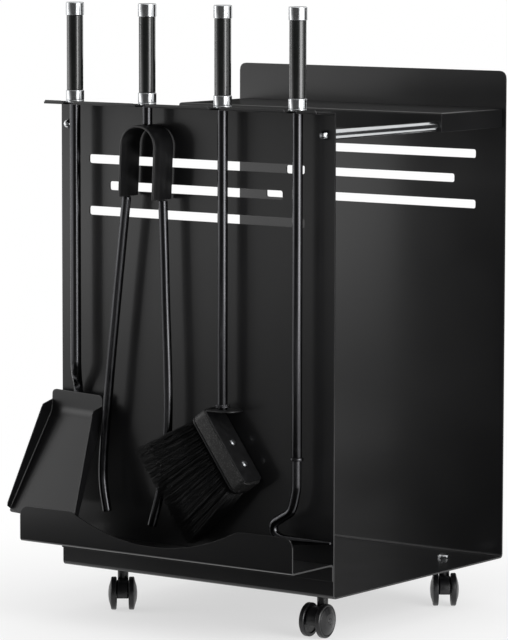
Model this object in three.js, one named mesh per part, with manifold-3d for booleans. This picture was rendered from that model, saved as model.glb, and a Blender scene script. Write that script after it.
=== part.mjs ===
// Fireside log cart: a trough bent from one sheet on four twin-wheel casters, with a small shelf
// held across its top by two rods, a tray along its rack side and four hanging hearth tools.
// Millimetres, +Z up. +X runs along the tool rack, and +Y from the rack side to the far wall.
import * as THREE from 'three';
import { mergeVertices } from 'three/addons/utils/BufferGeometryUtils.js';
import Module from 'manifold-3d';

const wasm = await Module();
wasm.setup();

// ---------------------------------------------------------------- driving dimensions

const seatGap = 0.3; // clearance between pieces that touch or fit in each other

// Trough: rack, near wall, floor and far wall are one bent sheet
const sheet = 2;
const bendRadius = 4; // of the sheet's mid line
const bodyWidth = 400;
const bodyDepth = 359;
const farWallCornerRadius = 10;

// Tool rack: the top of the near wall, bent outward, with a low lip
const rackHeight = 561; // top face of the rack's plate
const farWallHeight = rackHeight + 34;
const rackReach = 35;
const rackLipRise = 2.3;
const rackLipBend = 1.3;
const rackCornerCut = 5;
const rackSlotWidth = 13;
const rackSlotEnd = 10; // from the wall's face to the round end of each slot
const rackGapWidth = 24; // of the gap in the lip, at its top

// Air slots in both walls
const slotTop = rackHeight - 62.3;
const slotHeight = 10.5;
const slotPitch = 30.8;
const slotLengths = [315, 253, 315];
const slotCornerRadius = 3;

// Shelf: a folded tray, open side down, between the rods and the far wall
const shelfWidth = bodyWidth - 9;
const shelfDepth = 132;
const shelfTop = rackHeight - 11;
const shelfFlange = 23;
const shelfSheet = 2;
const shelfBend = 3;

// Rods from the near wall to the shelf
const rodDiameter = 12;
const rodInset = 13; // from the body's side edges to the rod axes
const rodHeight = shelfTop - 16;
const studDiameter = 6;
const capNutDiameter = 10.6;
const capNutLength = 8.6;
const peenedHeadDiameter = 10;
const peenedHeadThickness = 2.5;

// Rivets that hold the shelf to the far wall
const rivetDiameter = 5;
const rivetHeadDiameter = 9;
const rivetHeadHeight = 2.4;
const shelfRivetSpacing = 240;

// Tool tray
const trayReach = 81; // from the near wall's face to the lip's outer face
const trayHeight = 39.5; // underside of the tray's floor
const trayLipTop = 82;
const trayBend = 3;
const trayCornerRadius = 12;
const trayDipWidth = bodyWidth - 156;
const trayDipDepth = 30;
const trayDipBlend = 8;
const trayRearFlange = 18;

// Casters
const casterInset = 51.5; // from the body's edges to the swivel axes
const wheelDiameter = 40;
const wheelWidth = 10;
const wheelRim = 6.5;
const axleHeight = -35;
const axleDiameter = 5;
const casterTrail = 12;
const hoodWidth = 14.4;
const hoodRadius = 16.5;
const socketDiameter = 13;
const socketTop = -6;
const socketBottom = -39;
const socketFloor = 5;
const spigotDiameter = 1.8;
const spigotLength = 5;
const stemDiameter = 8;
const stemFlangeDiameter = 20;
const stemFlangeThickness = 2.2;
const floorNutDiameter = 15;
const floorNutHeight = 5;
const photoYaw = 36.4; // degrees that three of the casters are turned about their stems
const nearRightYaw = 5;

// Hanging tools
const toolPitch = 108.3;
const toolStandOff = 20.5; // from the near wall's face to the shaft axes
const shaftDiameter = 12;
const gripDiameter = 20;
const metalDiameter = 22; // of the handle's ferrule and cap
const ferruleLength = 14.3;
const gripLength = 88;
const capLength = 15.3;
const capWall = 6;

// Shovel, lengths down from the underside of its ferrule
const shovelBendDrop = rackHeight - 188;
const panRearWidth = 82;
const panFrontWidth = 111;
const panLength = 133;
const panSheet = 1.2;
const panTilt = 25.5; // degrees of the floor from the vertical
const panYaw = 4; // degrees that it is turned about the vertical
const panLean = 1.5; // degrees that it hangs to the left
const panRearHeight = 25.5;
const panRearCorner = 6;
const panSideHeight = 19;
const panFrontHeight = 8;
const panSideRise = 13; // of the side walls beside the rear wall
const panOffset = [-6, 9.5];
const palmDrop = shovelBendDrop - 27;
const crankDrop = palmDrop - 32;
const palmWidth = 14;
const palmThickness = 4.5;

// Tongs: a bent spring strap with a rod welded to each end
const strapWidth = 35.5;
const strapThickness = 3;
const strapSpan = 52.5;
const strapLength = 86;
const strapDrop = 23; // from the ferrule to the crown's outer face
const tenonDiameter = 6;
const tongsLean = 2.6;
const tongsRodDiameter = 11;
const tongsRodSpread = 27;
const tongsReach = rackHeight - 88; // from the crown to the lower rod end
const leftRodBends = [[-35, 190], [-44, 320], [-48, 425], [-40, 465]];
const rightRodBends = [[35, 190], [46, 350], [41.7, 413], [27.9, 473]];

// Brush
const brushStandOff = 18.5;
const brushShift = 0.4;
const collarDiameter = 17;
const collarHeight = 3.5;
const collarRise = 2.4; // above the bracket's tab
const tabDrop = rackHeight - 211;
const bracketSheet = 1.6;
const bracketWidth = 34;
const tabLength = 38;
const bracketLegLength = 98;
const bracketBend = 2.5;
const blockSlope = 54; // degrees of the block's long side below the horizontal
const blockLength = 105;
const blockWidth = 35;
const blockThickness = 18.7;
const blockCornerRadius = 9;
const blockCentre = [7, -tabDrop - 46.4];
const brushRivetPlaces = [-3, 26.5];
const bristleSlice = 2.5;
const bristleLength = 96;
const bristleTip = [126, 30];
const bristleTipRadius = 5;
const bristleTipBand = 1;
const rodReach = 31; // from the tongs' axis to their right rod, at the height of the bristles
const rodClearance = 2.5; // between that rod and the bristles
const partingAngle = 9; // of the bristles' back face, which passes in front of the rod

// Poker
const pokerRodDiameter = 11;
const pokerRodDrop = rackHeight - 164;
const pokerCollarDiameter = 16;
const pokerCollarHeight = 3.6;
const pokerTenon = 12;
const pokerBends = [ // below the collar's top
  [-1.5, -43], [-8, -63], [-21, -72], [-32, -80], [-31.5, -90], [-22, -95.5], [-9, -96.5],
];
const pokerTip = [48, -94.7];
const pokerTipDiameter = 3;

// ---------------------------------------------------------------- helpers

const X = new THREE.Vector3(1, 0, 0);
const Y = new THREE.Vector3(0, 1, 0);
const Z = new THREE.Vector3(0, 0, 1);
const radians = THREE.MathUtils.degToRad;
const vec = (x, y, z = 0) => new THREE.Vector3(x, y, z);

/** A closed geometry as a solid that can be joined and cut. */
function solid(geometry) {
  const bare = new THREE.BufferGeometry();
  bare.setAttribute('position', geometry.getAttribute('position'));
  bare.setIndex(geometry.getIndex());
  const merged = mergeVertices(bare, 1e-4);
  return new wasm.Manifold(new wasm.Mesh({
    numProp: 3,
    vertProperties: new Float32Array(merged.getAttribute('position').array),
    triVerts: new Uint32Array(merged.getIndex().array),
  }));
}

/** A solid as a geometry again. */
function geometryOf(body) {
  const { vertProperties, triVerts } = body.getMesh();
  const geometry = new THREE.BufferGeometry();
  geometry.setAttribute('position', new THREE.BufferAttribute(vertProperties, 3));
  geometry.setIndex(new THREE.BufferAttribute(triVerts, 1));
  geometry.computeVertexNormals();
  return geometry;
}

const join = (...bodies) => bodies.reduce((sum, body) => sum.add(body));
const cut = (body, ...tools) => tools.reduce((rest, tool) => rest.subtract(tool), body);

/** A flat outline made solid, standing on the plane of two axes and centred on it. */
function plate(outline, thickness, origin, xAxis, yAxis) {
  const normal = xAxis.clone().cross(yAxis);
  const geometry = new THREE.ExtrudeGeometry(outline, {
    depth: thickness, bevelEnabled: false, curveSegments: 4,
  });
  geometry.translate(0, 0, -thickness / 2);
  geometry.applyMatrix4(new THREE.Matrix4().makeBasis(xAxis, yAxis, normal).setPosition(origin));
  return solid(geometry);
}

const prismX = (outline, x0, x1) => plate(outline, x1 - x0, vec((x0 + x1) / 2, 0), Y, Z);
const prismZ = (outline, z0, z1) => plate(outline, z1 - z0, vec(0, 0, (z0 + z1) / 2), X, Y);
function prismY(outline, y0, y1) {
  return plate(outline, y1 - y0, vec(0, (y0 + y1) / 2), X, Z);
}

/** A closed outline through points, with each corner rounded by its own or a common radius. */
function roundedOutline(points, radii) {
  const shape = new THREE.Shape();
  points.forEach(([x, y], i) => {
    const corner = new THREE.Vector2(x, y);
    const before = new THREE.Vector2(...points.at(i - 1)).sub(corner);
    const after = new THREE.Vector2(...points[(i + 1) % points.length]).sub(corner);
    const radius = Array.isArray(radii) ? radii[i] : radii;
    const half = Math.abs(before.angleTo(after)) / 2;
    const reach = radius / Math.tan(half);
    const start = corner.clone().addScaledVector(before.normalize(), reach);
    const end = corner.clone().addScaledVector(after.normalize(), reach);
    if (i === 0) shape.moveTo(start.x, start.y);
    else shape.lineTo(start.x, start.y);
    if (radius > 0) shape.quadraticCurveTo(corner.x, corner.y, end.x, end.y);
  });
  shape.closePath();
  return shape;
}

const box = (x0, x1, y0, y1, radii = 0) =>
  roundedOutline([[x0, y0], [x1, y0], [x1, y1], [x0, y1]], radii);

/** Points along straight runs joined by arcs of one radius. */
function bentPath(corners, radius, steps = 4) {
  const path = [corners[0].clone()];
  for (let i = 1; i < corners.length - 1; i += 1) {
    const along = corners[i].clone().sub(corners[i - 1]).normalize();
    const onward = corners[i + 1].clone().sub(corners[i]).normalize();
    const turn = along.angleTo(onward);
    const inward = onward.clone().addScaledVector(along, -Math.cos(turn)).normalize();
    const start = corners[i].clone().addScaledVector(along, -radius * Math.tan(turn / 2));
    for (let k = 0; k <= steps; k += 1) {
      const angle = (turn * k) / steps;
      path.push(start.clone()
        .addScaledVector(along, radius * Math.sin(angle))
        .addScaledVector(inward, radius * (1 - Math.cos(angle))));
    }
  }
  path.push(corners.at(-1).clone());
  return path;
}

/** The section of a bent sheet: a mid line in the plane, thickened to both sides. */
function sheetSection(corners, radius, thickness, steps) {
  const path = bentPath(corners.map(([x, y]) => vec(x, y)), radius, steps);
  const sides = [1, -1].map((side) => path.map((point, i) => {
    const ahead = path[Math.min(i + 1, path.length - 1)];
    const behind = path[Math.max(i - 1, 0)];
    const direction = ahead.clone().sub(behind).normalize();
    return [
      point.x - (side * direction.y * thickness) / 2,
      point.y + (side * direction.x * thickness) / 2,
    ];
  }));
  return roundedOutline([...sides[0].reverse(), ...sides[1]], 0);
}

/** A curve whose stations are the listed points themselves. */
class StationPath extends THREE.Curve {
  constructor(points) {
    super();
    this.points = points;
  }

  getPoint(t, target = new THREE.Vector3()) {
    const place = t * (this.points.length - 1);
    const i = Math.min(Math.floor(place), this.points.length - 2);
    return target.lerpVectors(this.points[i], this.points[i + 1], place - i);
  }

  getPointAt(t, target) {
    return this.getPoint(t, target);
  }

  getTangentAt(t, target = new THREE.Vector3()) {
    const i = Math.round(t * (this.points.length - 1));
    const ahead = this.points[Math.min(i + 1, this.points.length - 1)];
    const behind = this.points[Math.max(i - 1, 0)];
    return target.subVectors(ahead, behind).normalize();
  }
}

/** A round bar along listed points. */
function bar(points, diameter, sides = 14) {
  const section = new THREE.Shape(Array.from({ length: sides }, (_, i) => {
    const angle = (2 * Math.PI * i) / sides;
    return new THREE.Vector2(Math.cos(angle), Math.sin(angle)).multiplyScalar(diameter / 2);
  }));
  return solid(new THREE.ExtrudeGeometry(section, {
    steps: points.length - 1, extrudePath: new StationPath(points), bevelEnabled: false,
  }));
}

/** A round or tapered pin from one point to another. */
function pin(start, end, diameter, endDiameter = diameter, sides = 14) {
  const run = end.clone().sub(start);
  const geometry = new THREE.CylinderGeometry(
    endDiameter / 2, diameter / 2, run.length(), sides,
  );
  geometry.applyQuaternion(new THREE.Quaternion().setFromUnitVectors(Y, run.clone().normalize()));
  const middle = start.clone().lerp(end, 0.5);
  geometry.translate(middle.x, middle.y, middle.z);
  return solid(geometry);
}

/** A turned piece about the Z axis from its profile of [radius, height] points. */
function turned(profile, sides = 14) {
  const points = profile.map(([r, z]) => new THREE.Vector2(r, z));
  if (profile[0][0] > 0) points.push(points[0].clone());
  const geometry = new THREE.LatheGeometry(points, sides);
  geometry.rotateX(Math.PI / 2);
  return solid(geometry);
}

/** A mushroom rivet along +Z: head below zero, shank, and a like head past the grip. */
function rivet(diameter, headDiameter, headHeight, grip) {
  const r = headDiameter / 2;
  return turned([
    [0, -headHeight], [r * 0.6, -headHeight * 0.8], [r, 0], [diameter / 2, 0],
    [diameter / 2, grip], [r, grip], [r * 0.6, grip + headHeight * 0.8], [0, grip + headHeight],
  ], 14);
}

const finishes = {
  powderCoat: { color: 0x2b2c2e, roughness: 0.45, metalness: 0.3 },
  chrome: { color: 0xd8dadd, roughness: 0.12, metalness: 1 },
  steel: { color: 0x9a9b9d, roughness: 0.25, metalness: 1 },
  grip: { color: 0x1a1a1b, roughness: 0.4, metalness: 0 },
  casterPlastic: { color: 0x161617, roughness: 0.5, metalness: 0 },
  blockPlastic: { color: 0x8d8b8c, roughness: 0.8, metalness: 0 },
  bristle: { color: 0x121213, roughness: 0.8, metalness: 0 },
};

/** Adds a named piece to a group, with a material of its own. */
function piece(group, name, body, finish) {
  const material = new THREE.MeshStandardMaterial(finishes[finish]);
  const mesh = new THREE.Mesh(geometryOf(body), material);
  mesh.name = name;
  group.add(mesh);
  return mesh;
}

/** A group placed in its parent. */
function placed(parent, position, rotation = [0, 0, 0]) {
  const group = new THREE.Group();
  group.position.copy(position);
  group.rotation.set(...rotation.map(radians));
  parent.add(group);
  return group;
}

// ---------------------------------------------------------------- places worked out

const halfWidth = bodyWidth / 2;
const rodX = halfWidth - rodInset;
const shelfFront = bodyDepth - sheet - seatGap - shelfDepth;
const toolX = [0, 1, 2, 3].map((i) => (i - 1.5) * toolPitch);
const bore = (diameter) => diameter + 2 * seatGap;

// ---------------------------------------------------------------- trough and its fittings

/** The rack's slots for the tool shafts, with the chamfered gaps that they leave in the lip. */
function rackSlots() {
  const front = -rackReach - 1;
  const lipTop = rackHeight + rackLipRise + 1;
  const flare = (rackGapWidth - rackSlotWidth) / 2;
  return toolX.flatMap((x) => {
    const r = rackSlotWidth / 2;
    const slot = new THREE.Shape();
    slot.moveTo(x - r, front);
    slot.lineTo(x + r, front);
    slot.absarc(x, -rackSlotEnd - r, r, 0, Math.PI);
    slot.closePath();
    const gap = roundedOutline([
      [x - r, rackHeight - sheet], [x + r, rackHeight - sheet],
      [x + r + flare, lipTop], [x - r - flare, lipTop],
    ], 0);
    return [
      prismZ(slot, rackHeight - sheet - 1, lipTop),
      prismY(gap, front, -rackReach + sheet),
    ];
  });
}

function cartBody() {
  const half = sheet / 2;
  const floorRun = [[half, half], [bodyDepth - half, half]];
  const lipLine = -rackReach + half;
  const plateLine = rackHeight - half;
  const trough = sheetSection([
    [half, plateLine - bendRadius], ...floorRun, [bodyDepth - half, farWallHeight],
  ], bendRadius, sheet);
  const clearOfCasters = halfWidth - 2 * casterInset;
  const walls = join( // three runs of one sheet: the floor between the casters is a face by itself
    prismX(trough, -halfWidth, -clearOfCasters),
    prismX(trough, -clearOfCasters, clearOfCasters),
    prismX(trough, clearOfCasters, halfWidth),
  );
  const rack = prismX(sheetSection([
    [lipLine, plateLine], [half, plateLine], [half, plateLine - 2 * bendRadius],
  ], bendRadius, sheet), -halfWidth, halfWidth);
  const lip = prismX(sheetSection([
    [lipLine, rackHeight + rackLipRise], [lipLine, plateLine], [lipLine + 4 * half, plateLine],
  ], rackLipBend, sheet, 3), -halfWidth, halfWidth);
  const keepSides = prismY(roundedOutline([
    [-halfWidth, -1], [halfWidth, -1], [halfWidth, farWallHeight], [-halfWidth, farWallHeight],
  ], [0, 0, farWallCornerRadius, farWallCornerRadius]), bodyDepth - 2 * sheet, bodyDepth + 1);
  const keepRest = prismY(
    box(-halfWidth, halfWidth, -1, farWallHeight), -rackReach - 1, bodyDepth - 2 * sheet,
  );
  const rackCorners = [-1, 1].map((side) => {
    const x = side * halfWidth;
    const c = rackCornerCut;
    const corner = [
      [x - side * c, rackHeight + c], [x + side, rackHeight + c], [x + side, rackHeight - c],
    ];
    const outline = roundedOutline(side > 0 ? corner.reverse() : corner, 0);
    return prismY(outline, -rackReach - 1, -rackReach + sheet);
  });
  const airSlots = slotLengths.map((length, row) => {
    const top = slotTop - row * slotPitch;
    const hole = box(-length / 2, length / 2, top - slotHeight, top, slotCornerRadius);
    return prismY(hole, -1, bodyDepth + 1);
  });
  const holes = [-1, 1].flatMap((side) => [
    pin(vec(side * rodX, -1, rodHeight), vec(side * rodX, sheet + 1, rodHeight), bore(studDiameter)),
    pin(
      vec((side * shelfRivetSpacing) / 2, bodyDepth - 2 * sheet, shelfRivetHeight),
      vec((side * shelfRivetSpacing) / 2, bodyDepth + 1, shelfRivetHeight),
      bore(rivetDiameter),
    ),
    ...casterPlaces.filter(({ x }) => Math.sign(x) === side)
      .map(({ x, y }) => pin(vec(x, y, -1), vec(x, y, sheet + 1), bore(stemDiameter))),
  ]);
  const sheetBody = join(walls, rack, lip).intersect(join(keepSides, keepRest));
  return cut(sheetBody, ...rackSlots(), ...airSlots, ...rackCorners, ...holes);
}

const shelfRivetHeight = shelfTop - shelfFlange / 2;

function shelfBody() {
  const y1 = shelfFront + shelfDepth;
  const bottom = shelfTop - shelfFlange;
  const shell = (inset, radius, below) => {
    const roundTop = [0, 0, radius, radius];
    const half = shelfWidth / 2 - inset;
    const top = shelfTop - inset;
    const across = prismY(
      box(-half, half, bottom - below, top, roundTop), shelfFront + inset, y1 - inset,
    );
    return across.intersect(prismX(
      box(shelfFront + inset, y1 - inset, bottom - below, top, roundTop), -half, half,
    ));
  };
  const folded = shell(0, shelfBend, 0).subtract(shell(shelfSheet, shelfBend - shelfSheet, 1));
  const holes = [-1, 1].flatMap((side) => [
    pin(
      vec(side * rodX, shelfFront - 1, rodHeight),
      vec(side * rodX, shelfFront + shelfSheet + 1, rodHeight),
      bore(studDiameter),
    ),
    pin(
      vec((side * shelfRivetSpacing) / 2, y1 - shelfSheet - 1, shelfRivetHeight),
      vec((side * shelfRivetSpacing) / 2, y1 + 1, shelfRivetHeight),
      bore(rivetDiameter),
    ),
  ]);
  return cut(folded, ...holes);
}

/** A rod with a threaded stud through the near wall and a peened stud through the shelf. */
function spacerRod(x) {
  const at = (y) => vec(x, y, rodHeight);
  const far = shelfFront + shelfSheet + seatGap;
  return join(
    pin(at(-capNutLength * 0.6), at(far + 1), studDiameter),
    pin(at(sheet + seatGap), at(shelfFront - seatGap), rodDiameter),
    pin(at(far), at(far + peenedHeadThickness), peenedHeadDiameter),
  );
}

/** A domed nut along +Z, with a blind bore from its foot. */
function domedNut(diameter, length, boreDiameter) {
  const r = diameter / 2;
  const b = bore(boreDiameter) / 2;
  return turned([
    [0, length * 0.75], [b, length * 0.75], [b, 0], [r, 0], [r, length * 0.3],
    [r * 0.86, length * 0.68], [r * 0.5, length * 0.93], [0, length],
  ]);
}

/** The outline of the tray seen from the front: round top corners and an arc-shaped dip. */
function trayOutline() {
  const chord = trayDipWidth / 2;
  const radius = (chord ** 2 + trayDipDepth ** 2) / (2 * trayDipDepth);
  const centreZ = trayLipTop - trayDipDepth + radius;
  const reach = Math.asin(chord / radius) - trayDipBlend / radius;
  const r = trayCornerRadius;
  const outline = new THREE.Shape();
  outline.moveTo(-halfWidth, 0);
  outline.lineTo(halfWidth, 0);
  outline.absarc(halfWidth - r, trayLipTop - r, r, 0, Math.PI / 2);
  outline.lineTo(chord + trayDipBlend, trayLipTop);
  outline.quadraticCurveTo(
    chord, trayLipTop, radius * Math.sin(reach), centreZ - radius * Math.cos(reach),
  );
  for (let k = 1; k < 14; k += 1) {
    const angle = reach * (1 - k / 7);
    outline.lineTo(radius * Math.sin(angle), centreZ - radius * Math.cos(angle));
  }
  outline.lineTo(-radius * Math.sin(reach), centreZ - radius * Math.cos(reach));
  outline.quadraticCurveTo(-chord, trayLipTop, -chord - trayDipBlend, trayLipTop);
  outline.absarc(-halfWidth + r, trayLipTop - r, r, Math.PI / 2, Math.PI);
  outline.closePath();
  return outline;
}

function toolTray() {
  const half = sheet / 2;
  const blank = prismX(sheetSection([
    [-trayReach + half, trayLipTop], [-trayReach + half, trayHeight + half],
    [-seatGap - half, trayHeight + half], [-seatGap - half, trayHeight - trayRearFlange],
  ], trayBend, sheet), -halfWidth, halfWidth);
  return blank.intersect(prismY(trayOutline(), -trayReach - 1, 1));
}

// ---------------------------------------------------------------- casters

const casterPlaces = [
  ['near_left', -1, casterInset, photoYaw],
  ['near_right', 1, casterInset, nearRightYaw],
  ['far_left', -1, bodyDepth - casterInset, photoYaw],
  ['far_right', 1, bodyDepth - casterInset, photoYaw],
].map(([name, side, y, yaw]) => ({ name, x: side * (halfWidth - casterInset), y, yaw }));

/** A stem with a flange under the floor, its thread through the floor and its pin in the hood. */
function casterStem() {
  const r = stemDiameter / 2;
  const rim = stemFlangeDiameter / 2;
  const foot = socketBottom + socketFloor + seatGap;
  const top = sheet + floorNutHeight * 0.6;
  return turned([
    [0, foot], [r, foot], [r, -seatGap - stemFlangeThickness], [rim, -seatGap - stemFlangeThickness],
    [rim, -seatGap], [r, -seatGap], [r, top], [0, top],
  ]);
}

/** The hood between the wheels: a disc about the axle, cut off flat, and a socket about the stem. */
function casterHood() {
  const onStem = (z) => vec(0, 0, z);
  const onAxle = (x) => vec(x, -casterTrail, axleHeight);
  const half = hoodWidth / 2;
  const disc = pin(onAxle(-half), onAxle(half), 2 * hoodRadius, 2 * hoodRadius, 20);
  const socket = pin(onStem(socketBottom), onStem(socketTop), socketDiameter);
  const spigotEnd = onStem(socketBottom - spigotLength);
  const spigot = pin(spigotEnd, onStem(socketBottom + 1), spigotDiameter, spigotDiameter, 8);
  const stemBore = pin(onStem(socketBottom + socketFloor), onStem(-socketTop), bore(stemDiameter));
  const axleBore = pin(onAxle(-hoodWidth), onAxle(hoodWidth), bore(axleDiameter));
  const reach = casterTrail + 2 * hoodRadius;
  const below = prismZ(box(-hoodWidth, hoodWidth, -reach, reach), axleHeight - reach, socketBottom);
  return join(cut(join(disc, socket), stemBore, axleBore, below), spigot);
}

/** A wheel along +Z from its inner face, with a blind bore, a flat tread and a domed cover. */
function casterWheel() {
  const r = wheelDiameter / 2;
  const b = bore(axleDiameter) / 2;
  const bottom = wheelWidth * 0.75;
  return turned([
    [0, bottom], [b, bottom], [b, 0], [r - 1, 0], [r, 1], [r, wheelRim - 1], [r - 1, wheelRim],
    [r * 0.8, wheelRim + 0.6], [r * 0.45, wheelWidth - 0.6], [0, wheelWidth],
  ], 20);
}

function addCaster(parent, { name, x, y, yaw }) {
  const group = placed(parent, vec(x, y, 0));
  const label = `caster_${name}`;
  piece(group, `${label}_stem`, casterStem(), 'steel');
  piece(
    group, `${label}_nut`, domedNut(floorNutDiameter, floorNutHeight, stemDiameter), 'chrome',
  ).position.z = sheet + seatGap;
  const turning = placed(group, vec(0, 0, 0), [0, 0, yaw]);
  piece(turning, `${label}_hood`, casterHood(), 'casterPlastic');
  const axleReach = hoodWidth / 2 + seatGap + wheelWidth * 0.75 - seatGap;
  const onAxle = (end) => vec(end, -casterTrail, axleHeight);
  piece(turning, `${label}_axle`, pin(onAxle(-axleReach), onAxle(axleReach), axleDiameter), 'steel');
  [['left', -1], ['right', 1]].forEach(([side, sign]) => {
    const wheel = piece(turning, `${label}_wheel_${side}`, casterWheel(), 'casterPlastic');
    wheel.position.copy(onAxle(sign * (hoodWidth / 2 + seatGap)));
    wheel.rotation.y = (sign * Math.PI) / 2;
  });
}

// ---------------------------------------------------------------- handles, shared by the tools

const gripStart = ferruleLength + seatGap;
const capStart = gripStart + gripLength + seatGap;
const shaftTop = capStart + capLength - capWall;

/** The handle's ferrule, grip and cap, stacked up from the rack. */
function addHandle(group, tool) {
  const b = bore(shaftDiameter) / 2;
  const r = metalDiameter / 2;
  const ferrule = turned([
    [b, 0], [r - 0.6, 0], [r, 0.6], [r, ferruleLength - 0.6], [r - 0.6, ferruleLength], [b, ferruleLength],
  ]);
  const grip = turned([[b, 0], [gripDiameter / 2, 0], [gripDiameter / 2, gripLength], [b, gripLength]]);
  const boreEnd = capLength - capWall + seatGap;
  const cap = turned([
    [0, boreEnd], [b, boreEnd], [b, 0], [r - 0.6, 0], [r, 0.6], [r, capLength - 1.4],
    [r - 1.4, capLength], [0, capLength],
  ]);
  piece(group, `${tool}_ferrule`, ferrule, 'chrome');
  piece(group, `${tool}_grip`, grip, 'grip').position.z = gripStart;
  piece(group, `${tool}_cap`, cap, 'chrome').position.z = capStart;
}

/** A straight shaft from inside the cap down to a drop below the ferrule, with a thin tenon. */
function shaft(drop, tenonLength) {
  const body = pin(vec(0, 0, -drop), vec(0, 0, shaftTop), shaftDiameter);
  return body.add(pin(vec(0, 0, -drop - tenonLength), vec(0, 0, 1 - drop), tenonDiameter));
}

/** The frame of one tool, with its origin under the ferrule, on the rack. */
function toolFrame(parent, index, standOff, shift = 0) {
  return placed(parent, vec(toolX[index] + shift, -standOff, rackHeight + seatGap));
}

// ---------------------------------------------------------------- shovel

/** The pan: floor, rear wall and two side walls, with its bend line on the local X axis. */
function shovelPan() {
  const tilt = radians(panTilt);
  const rear = panRearWidth / 2;
  const front = panFrontWidth / 2;
  const origin = vec(0, 0, 0);
  const down = vec(0, -Math.sin(tilt), -Math.cos(tilt));
  const floorOutline = roundedOutline(
    [[-rear, 0], [-front, -panLength], [front, -panLength], [rear, 0]], [0, 4, 4, 0],
  );
  const floor = plate(floorOutline, panSheet, origin, X, down.clone().negate());
  const rearWall = plate(box(-rear, rear, -panSheet / 2, panRearHeight, [0, 0, panRearCorner, panRearCorner]),
    panSheet, origin, X, Z);
  const inward = vec(0, -Math.cos(tilt), Math.sin(tilt));
  const sides = [-1, 1].flatMap((side) => {
    const edge = vec(side * (front - rear), 0).addScaledVector(down, panLength);
    const run = edge.length();
    const along = edge.clone().normalize();
    const corner = vec(side * rear, 0);
    const wall = plate(roundedOutline(
      [[-panSheet / 2, 0], [run - 4, 0], [run - 4, panFrontHeight], [0, panSideHeight]], 0,
    ), panSheet, corner, along, inward);
    const gusset = plate(roundedOutline([
      [panSheet / 2, 0], [panSheet / 2, panSideRise],
      [-panSideHeight * Math.cos(tilt), panSideHeight * Math.sin(tilt)],
    ], 0), panSheet, corner, Y, Z);
    return [wall, gusset];
  });
  return join(floor, rearWall, ...sides);
}

function addShovel(parent) {
  const group = toolFrame(parent, 0, toolStandOff);
  addHandle(group, 'shovel');
  const [dx, dy] = panOffset;
  const palmBack = dy + panSheet / 2 + seatGap + palmThickness / 2;
  const crank = bentPath([
    vec(0, 0, -crankDrop + 1), vec(0, 0, -crankDrop - 8),
    vec(dx, palmBack, -palmDrop), vec(dx, palmBack, -palmDrop - 4),
  ], 10, 3);
  const yaw = new THREE.Vector3(Math.cos(radians(panYaw)), -Math.sin(radians(panYaw)), 0);
  const palm = plate(
    box(-palmWidth / 2, palmWidth / 2, -shovelBendDrop, -palmDrop + 2, 4),
    palmThickness, vec(dx, palmBack, 0), yaw, Z,
  );
  const straight = pin(vec(0, 0, -crankDrop), vec(0, 0, shaftTop), shaftDiameter, shaftDiameter, 14);
  const clearOfPan = plate(
    box(-panRearWidth, panRearWidth, -shovelBendDrop - 20, -shovelBendDrop + panRearHeight + seatGap),
    shaftDiameter, vec(dx, dy - shaftDiameter / 2 + panSheet / 2 + seatGap, 0), yaw, Z,
  );
  piece(group, 'shovel_shaft', cut(join(straight, bar(crank, shaftDiameter), palm), clearOfPan), 'steel');
  const pan = placed(group, vec(dx, dy, -shovelBendDrop), [0, panLean, -panYaw]);
  piece(pan, 'shovel_pan', shovelPan(), 'powderCoat');
}

// ---------------------------------------------------------------- tongs

function addTongs(parent) {
  const group = toolFrame(parent, 1, toolStandOff);
  addHandle(group, 'tongs');
  piece(group, 'tongs_shaft', shaft(strapDrop - seatGap, strapThickness + 3), 'steel');
  const head = placed(group, vec(0, 0, -strapDrop), [0, tongsLean, 0]);
  const half = (strapSpan - strapThickness) / 2;
  const crown = -strapThickness / 2;
  const strap = plate(
    sheetSection([[-half, -strapLength], [-half, crown], [half, crown], [half, -strapLength]],
      half - 1, strapThickness, 6),
    strapWidth, vec(0, 0), X, Z,
  );
  const tenonHole = pin(vec(0, 0, -20), vec(0, 0, 5), tenonDiameter + 4 * seatGap);
  piece(head, 'tongs_strap', strap.subtract(tenonHole), 'steel');
  const top = -strapLength - seatGap;
  [['left', -1, leftRodBends], ['right', 1, rightRodBends]].forEach(([name, side, bends]) => {
    const start = vec(side * tongsRodSpread, 0, top);
    const stretch = tongsReach / rightRodBends.at(-1)[1];
    const curve = new THREE.CatmullRomCurve3([
      start, ...bends.map(([x, drop]) => vec(x, 0, -drop * stretch)),
    ]);
    const foot = vec(0, 0, top).setX(side * tongsRodSpread);
    const rod = bar(curve.getPoints(14), tongsRodDiameter, 12);
    const aboveTop = prismZ(box(-strapSpan, strapSpan, -strapWidth, strapWidth), top, 0);
    const neck = pin(foot, foot.clone().setZ(top - 1), tongsRodDiameter, tongsRodDiameter, 12);
    piece(head, `tongs_rod_${name}`, rod.add(neck).subtract(aboveTop), 'steel');
  });
}

// ---------------------------------------------------------------- brush

/** The outline of the brush's block. */
function blockOutline() {
  const x = blockLength / 2;
  const y = blockWidth / 2;
  return box(-x, x, -y, y, blockCornerRadius);
}

/** The bristles as one body from the block's outline to the wider tips, below the local zero. */
function bristles() {
  const x = bristleTip[0] / 2;
  const y = bristleTip[1] / 2;
  return wasm.Manifold.hull([
    prismZ(blockOutline(), 0, bristleSlice),
    prismZ(box(-x, x, -y, y, bristleTipRadius), -bristleLength, bristleTipBand - bristleLength),
  ]);
}

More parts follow.
